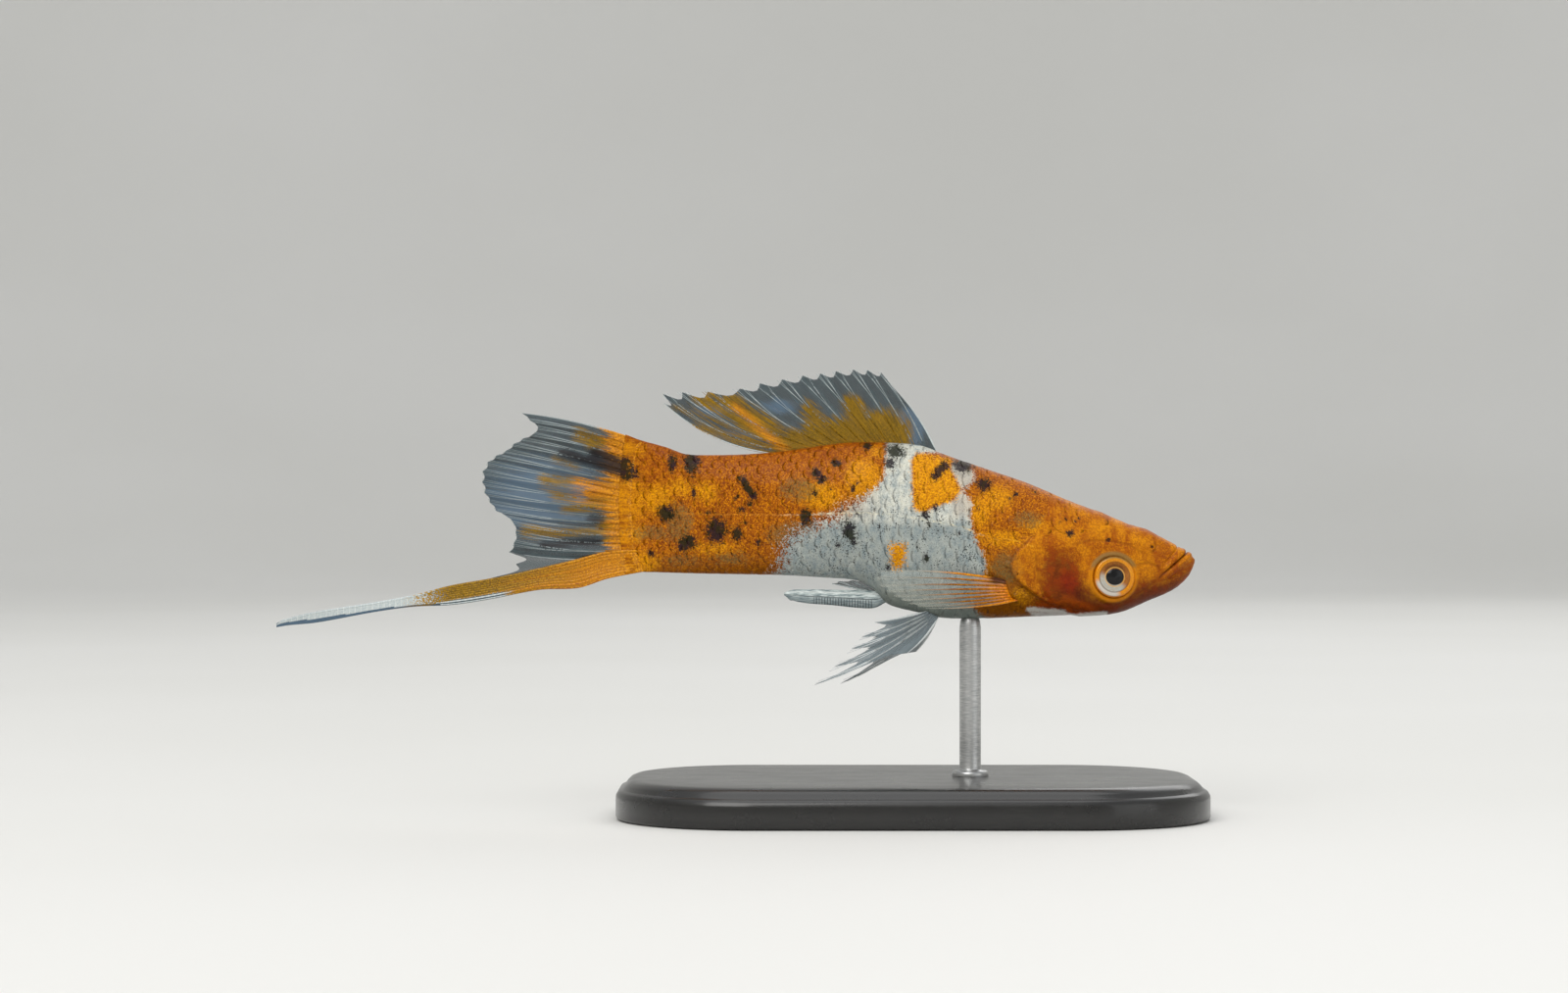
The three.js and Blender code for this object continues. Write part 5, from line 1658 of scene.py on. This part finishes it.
class SWORDTAIL_OT_stand(bpy.types.Operator):
    """A flat black base and one steel rod up to the belly"""

    bl_idname = "swordtail.stand"
    bl_label = "Stand"

    BASE_CORNER = 14
    BASE_HEIGHT = 4
    # The base's moulded edge as insets and heights, and the rod's collar and tip as widenings and heights
    EDGE = [
        (6, 0), (0.55, 0), (0.15, 0.12), (0, 0.4), (0, 1.2), (0, 2.2), (0.06, 2.5), (0.22, 2.75), (0.3, 2.86),
        (0.62, 2.98), (0.75, 3.08), (0.95, 3.4), (1.3, 3.72), (1.8, 3.92), (2.4, 4), (6, 4),
    ]
    COLLAR = [(0.55, -0.6), (0.75, -0.1), (0.75, 0.35), (0.62, 0.55), (0.12, 0.62), (0, 0.7), (0, 3)]
    TIP = [(1, -4), (1, -1.2), (0.93, -0.5), (0.8, -0.1), (0.5, 0)]
    # How far the rod runs into the belly
    ROD_REACH = 0.33
    ROD_SPOKES = 48

    def execute(self, context):
        low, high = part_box("stand_base")
        half_x, half_y, top = (high.x - low.x) / 2, (high.y - low.y) / 2, high.z
        corner = self.BASE_CORNER * MM
        outline, out = [], []
        for k, (sign_x, sign_y) in enumerate(((1, 1), (-1, 1), (-1, -1), (1, -1))):
            centre = np.array([(half_x - corner) * sign_x, (half_y - corner) * sign_y])
            for turn in np.linspace(0, np.pi / 2, 20) + k * np.pi / 2:
                out.append((math.cos(turn), math.sin(turn)))
                outline.append(centre + corner * np.array(out[-1]))
        outline, out = np.array(outline), np.array(out)
        around = len(outline)
        rings = [
            np.column_stack([
                outline - out * inset * MM, np.full(around, low.z + z / self.BASE_HEIGHT * (top - low.z)),
            ])
            for inset, z in self.EDGE
        ]
        points = np.vstack([*rings, [(0, 0, low.z)], [(0, 0, top)]])
        k = np.arange(around)
        hub, last = len(rings) * around, (len(rings) - 1) * around
        under = np.column_stack([np.full(around, hub), (k + 1) % around, k])
        lid = np.column_stack([np.full(around, hub + 1), last + k, last + (k + 1) % around])
        world_object(
            "base", points, [grid_quads(len(rings), around, around=True), under, lid],
            {"place": points / MM}, None, black_base_material(), "stand_base", ("stand_base",),
        )

        low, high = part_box("stand_rod")
        radius = (high.x - low.x) / 2 / MM
        start, tip = top / MM, high.z / MM + self.ROD_REACH
        profile = [
            (0.01, start - 0.6), *((radius + r, start + z) for r, z in self.COLLAR),
            *((radius * r, tip + z) for r, z in self.TIP), (0.01, tip + 0.02),
        ]
        points = turned(np.array(profile) * MM, self.ROD_SPOKES, (low.x + high.x) / 2)
        piece = world_object(
            "rod", points, tube_faces(len(profile), self.ROD_SPOKES), {"place": points / MM}, None,
            steel_material(), "stand_rod", ("stand_rod",),
        )
        bevel = piece.modifiers.new("Rounded edges", "BEVEL")
        bevel.width, bevel.segments, bevel.limit_method = 0.08 * MM, 2, "ANGLE"
        return {"FINISHED"}


def black_base_material():
    """Satin black acrylic with faint dust and wipe marks."""
    p = Paint("black_acrylic")
    place = p.place()
    wiped = p.noise(place * (0.2, 0.3, 0.3), 0.9, 4.0, 0.6).climb(0.35, 0.7)
    dust = p.noise(place, 5.0, 2.0, 0.7).climb(0.66, 0.74)
    colour = p.mix(wiped * 0.4, (20, 19, 18), (30, 29, 27))
    colour = p.mix(dust * 0.12, colour, (110, 108, 102))
    normal = p.relief(p.noise(place, 3.0, 3.0, 0.6), 0.01, 0.3)
    gloss = 0.27 + wiped * 0.05 + dust * 0.15
    return p.finish(colour, gloss, Normal=normal, Coat_Weight=0.3, Coat_Roughness=0.1)


def steel_material():
    """Steel brushed round the rod, with a little dust."""
    p = Paint("brushed_steel")
    brushed = p.noise(p.place(0.5, 0.5, 14.0), 2.0, 3.0, 0.6)
    dust = p.noise(p.place(), 0.8, 3.0, 0.6).climb(0.4, 0.7)
    colour = p.mix(brushed.climb(0.3, 0.7), (150, 152, 154), (206, 206, 204))
    return p.finish(
        colour, 0.24 + brushed * 0.16 + dust * 0.06, Metallic=1.0, Normal=p.relief(brushed, 0.02, 0.35),
    )


class SWORDTAIL_OT_stage(bpy.types.Operator):
    """Pale floor, soft lights and the camera"""

    bl_idname = "swordtail.stage"
    bl_label = "Stage"

    # Name, place, size, power and colour of each light, all aimed at the middle of the fish
    LIGHTS = (
        ("key", (-0.30, -0.62, 0.62), 0.55, 4.0, (1.0, 0.985, 0.96)),
        ("fill", (0.62, -0.50, 0.22), 0.60, 0.8, (0.96, 0.98, 1.0)),
        ("rim", (0.25, 0.60, 0.50), 0.45, 0.9, (1.0, 1.0, 1.0)),
        ("top", (-0.05, -0.05, 0.80), 0.60, 1.4, (1.0, 1.0, 1.0)),
    )
    AIM = (-0.012, 0.0, 0.03)
    # The floor is flat, then bends up into a low wall, and lies a hair under the base
    FLOOR_FLAT, FLOOR_BEND, WALL_HEIGHT = 0.9, 0.6, 1.2
    FLOOR_GAP = 0.00002
    FLOOR_SPOKES = 96
    ROOM_COLOUR, ROOM_POWER = (0.86, 0.88, 0.9, 1), 0.75
    CAMERA_AT = (-0.013, -0.3778, 0.0325)
    LENS, SENSOR_WIDTH = 85, 36

    def execute(self, context):
        scene = context.scene
        flat, bend = self.FLOOR_FLAT, self.FLOOR_BEND
        profile = [(0.001, 0.0), (0.2, 0.0), (0.5, 0.0), (flat, 0.0)]
        turns = np.radians(np.linspace(6, 90, 15))
        profile += [(flat + bend * math.sin(a), bend - bend * math.cos(a)) for a in turns]
        profile += [(flat + bend, self.WALL_HEIGHT)]
        p = Paint("pale_floor")
        where = p.node("ShaderNodeTexCoord", output="Object")
        cloud = p.noise(where, 3.0, 3.0, 0.5).climb(0.3, 0.7)
        colour = p.mix(cloud, (222, 221, 217), (228, 227, 224))
        material = p.finish(colour, 0.62 + p.noise(where, 900.0) * 0.1)
        quads = grid_quads(len(profile), self.FLOOR_SPOKES, around=True, flip=True)
        floor = world_object("floor", turned(profile, self.FLOOR_SPOKES), [quads], material=material)
        floor.location.z = -self.FLOOR_GAP
        for light in self.LIGHTS:
            self.light(*light)

        world = bpy.data.worlds.new("pale_room")
        world.use_nodes = True
        colour, strength = world.node_tree.nodes["Background"].inputs[:2]
        colour.default_value, strength.default_value = self.ROOM_COLOUR, self.ROOM_POWER
        scene.world = world

        lens = bpy.data.cameras.new("camera")
        lens.lens, lens.sensor_width = self.LENS, self.SENSOR_WIDTH
        lens.clip_start, lens.clip_end = 0.01, 20
        camera = bpy.data.objects.new("camera", lens)
        camera.location = self.CAMERA_AT
        camera.rotation_euler = (math.pi / 2, 0, 0)
        scene.collection.objects.link(camera)
        scene.camera = camera
        scene.view_settings.view_transform = "Standard"
        return {"FINISHED"}

    def light(self, name, place, size, power, colour):
        data = bpy.data.lights.new(name, "AREA")
        data.size, data.energy, data.color = size, power, colour
        lamp = bpy.data.objects.new(name, data)
        lamp.location = place
        x, y, z = np.array(self.AIM) - np.array(place)
        lamp.rotation_euler = (math.atan2(math.hypot(x, y), -z), 0, math.atan2(y, x) - math.pi / 2)
        bpy.context.scene.collection.objects.link(lamp)


class SWORDTAIL_PT_panel(bpy.types.Panel):
    """Lists the pieces of the model"""

    bl_idname = "SWORDTAIL_PT_panel"
    bl_label = "Swordtail"
    bl_space_type = "VIEW_3D"
    bl_region_type = "UI"
    bl_category = "Swordtail"

    def draw(self, context):
        for name in FishColours.__annotations__:
            self.layout.prop(context.scene.swordtail_colours, name)
        for name in FishSizes.__annotations__:
            self.layout.prop(context.scene.swordtail_sizes, name)
        for operator in OPERATORS:
            self.layout.operator(operator.bl_idname)


OPERATORS = (
    SWORDTAIL_OT_stage, SWORDTAIL_OT_skin, SWORDTAIL_OT_scales, SWORDTAIL_OT_eyes, SWORDTAIL_OT_dorsal_fin,
    SWORDTAIL_OT_tail_fin, SWORDTAIL_OT_sword, SWORDTAIL_OT_gonopodium, SWORDTAIL_OT_paired_fins,
    SWORDTAIL_OT_stand,
)
CLASSES = (FishColours, FishSizes, *OPERATORS, SWORDTAIL_PT_panel)


def register():
    for cls in CLASSES:
        bpy.utils.register_class(cls)
    bpy.types.Scene.swordtail_colours = PointerProperty(type=FishColours)
    bpy.types.Scene.swordtail_sizes = PointerProperty(type=FishSizes)


def unregister():
    del bpy.types.Scene.swordtail_sizes
    del bpy.types.Scene.swordtail_colours
    for cls in reversed(CLASSES):
        bpy.utils.unregister_class(cls)


def main():
    register()
    bpy.ops.swordtail.stage()
    bpy.ops.swordtail.skin()
    bpy.ops.swordtail.scales()
    bpy.ops.swordtail.eyes()
    bpy.ops.swordtail.dorsal_fin()
    bpy.ops.swordtail.tail_fin()
    bpy.ops.swordtail.sword()
    bpy.ops.swordtail.gonopodium()
    bpy.ops.swordtail.paired_fins()
    bpy.ops.swordtail.stand()


if __name__ == "__main__":
    main()
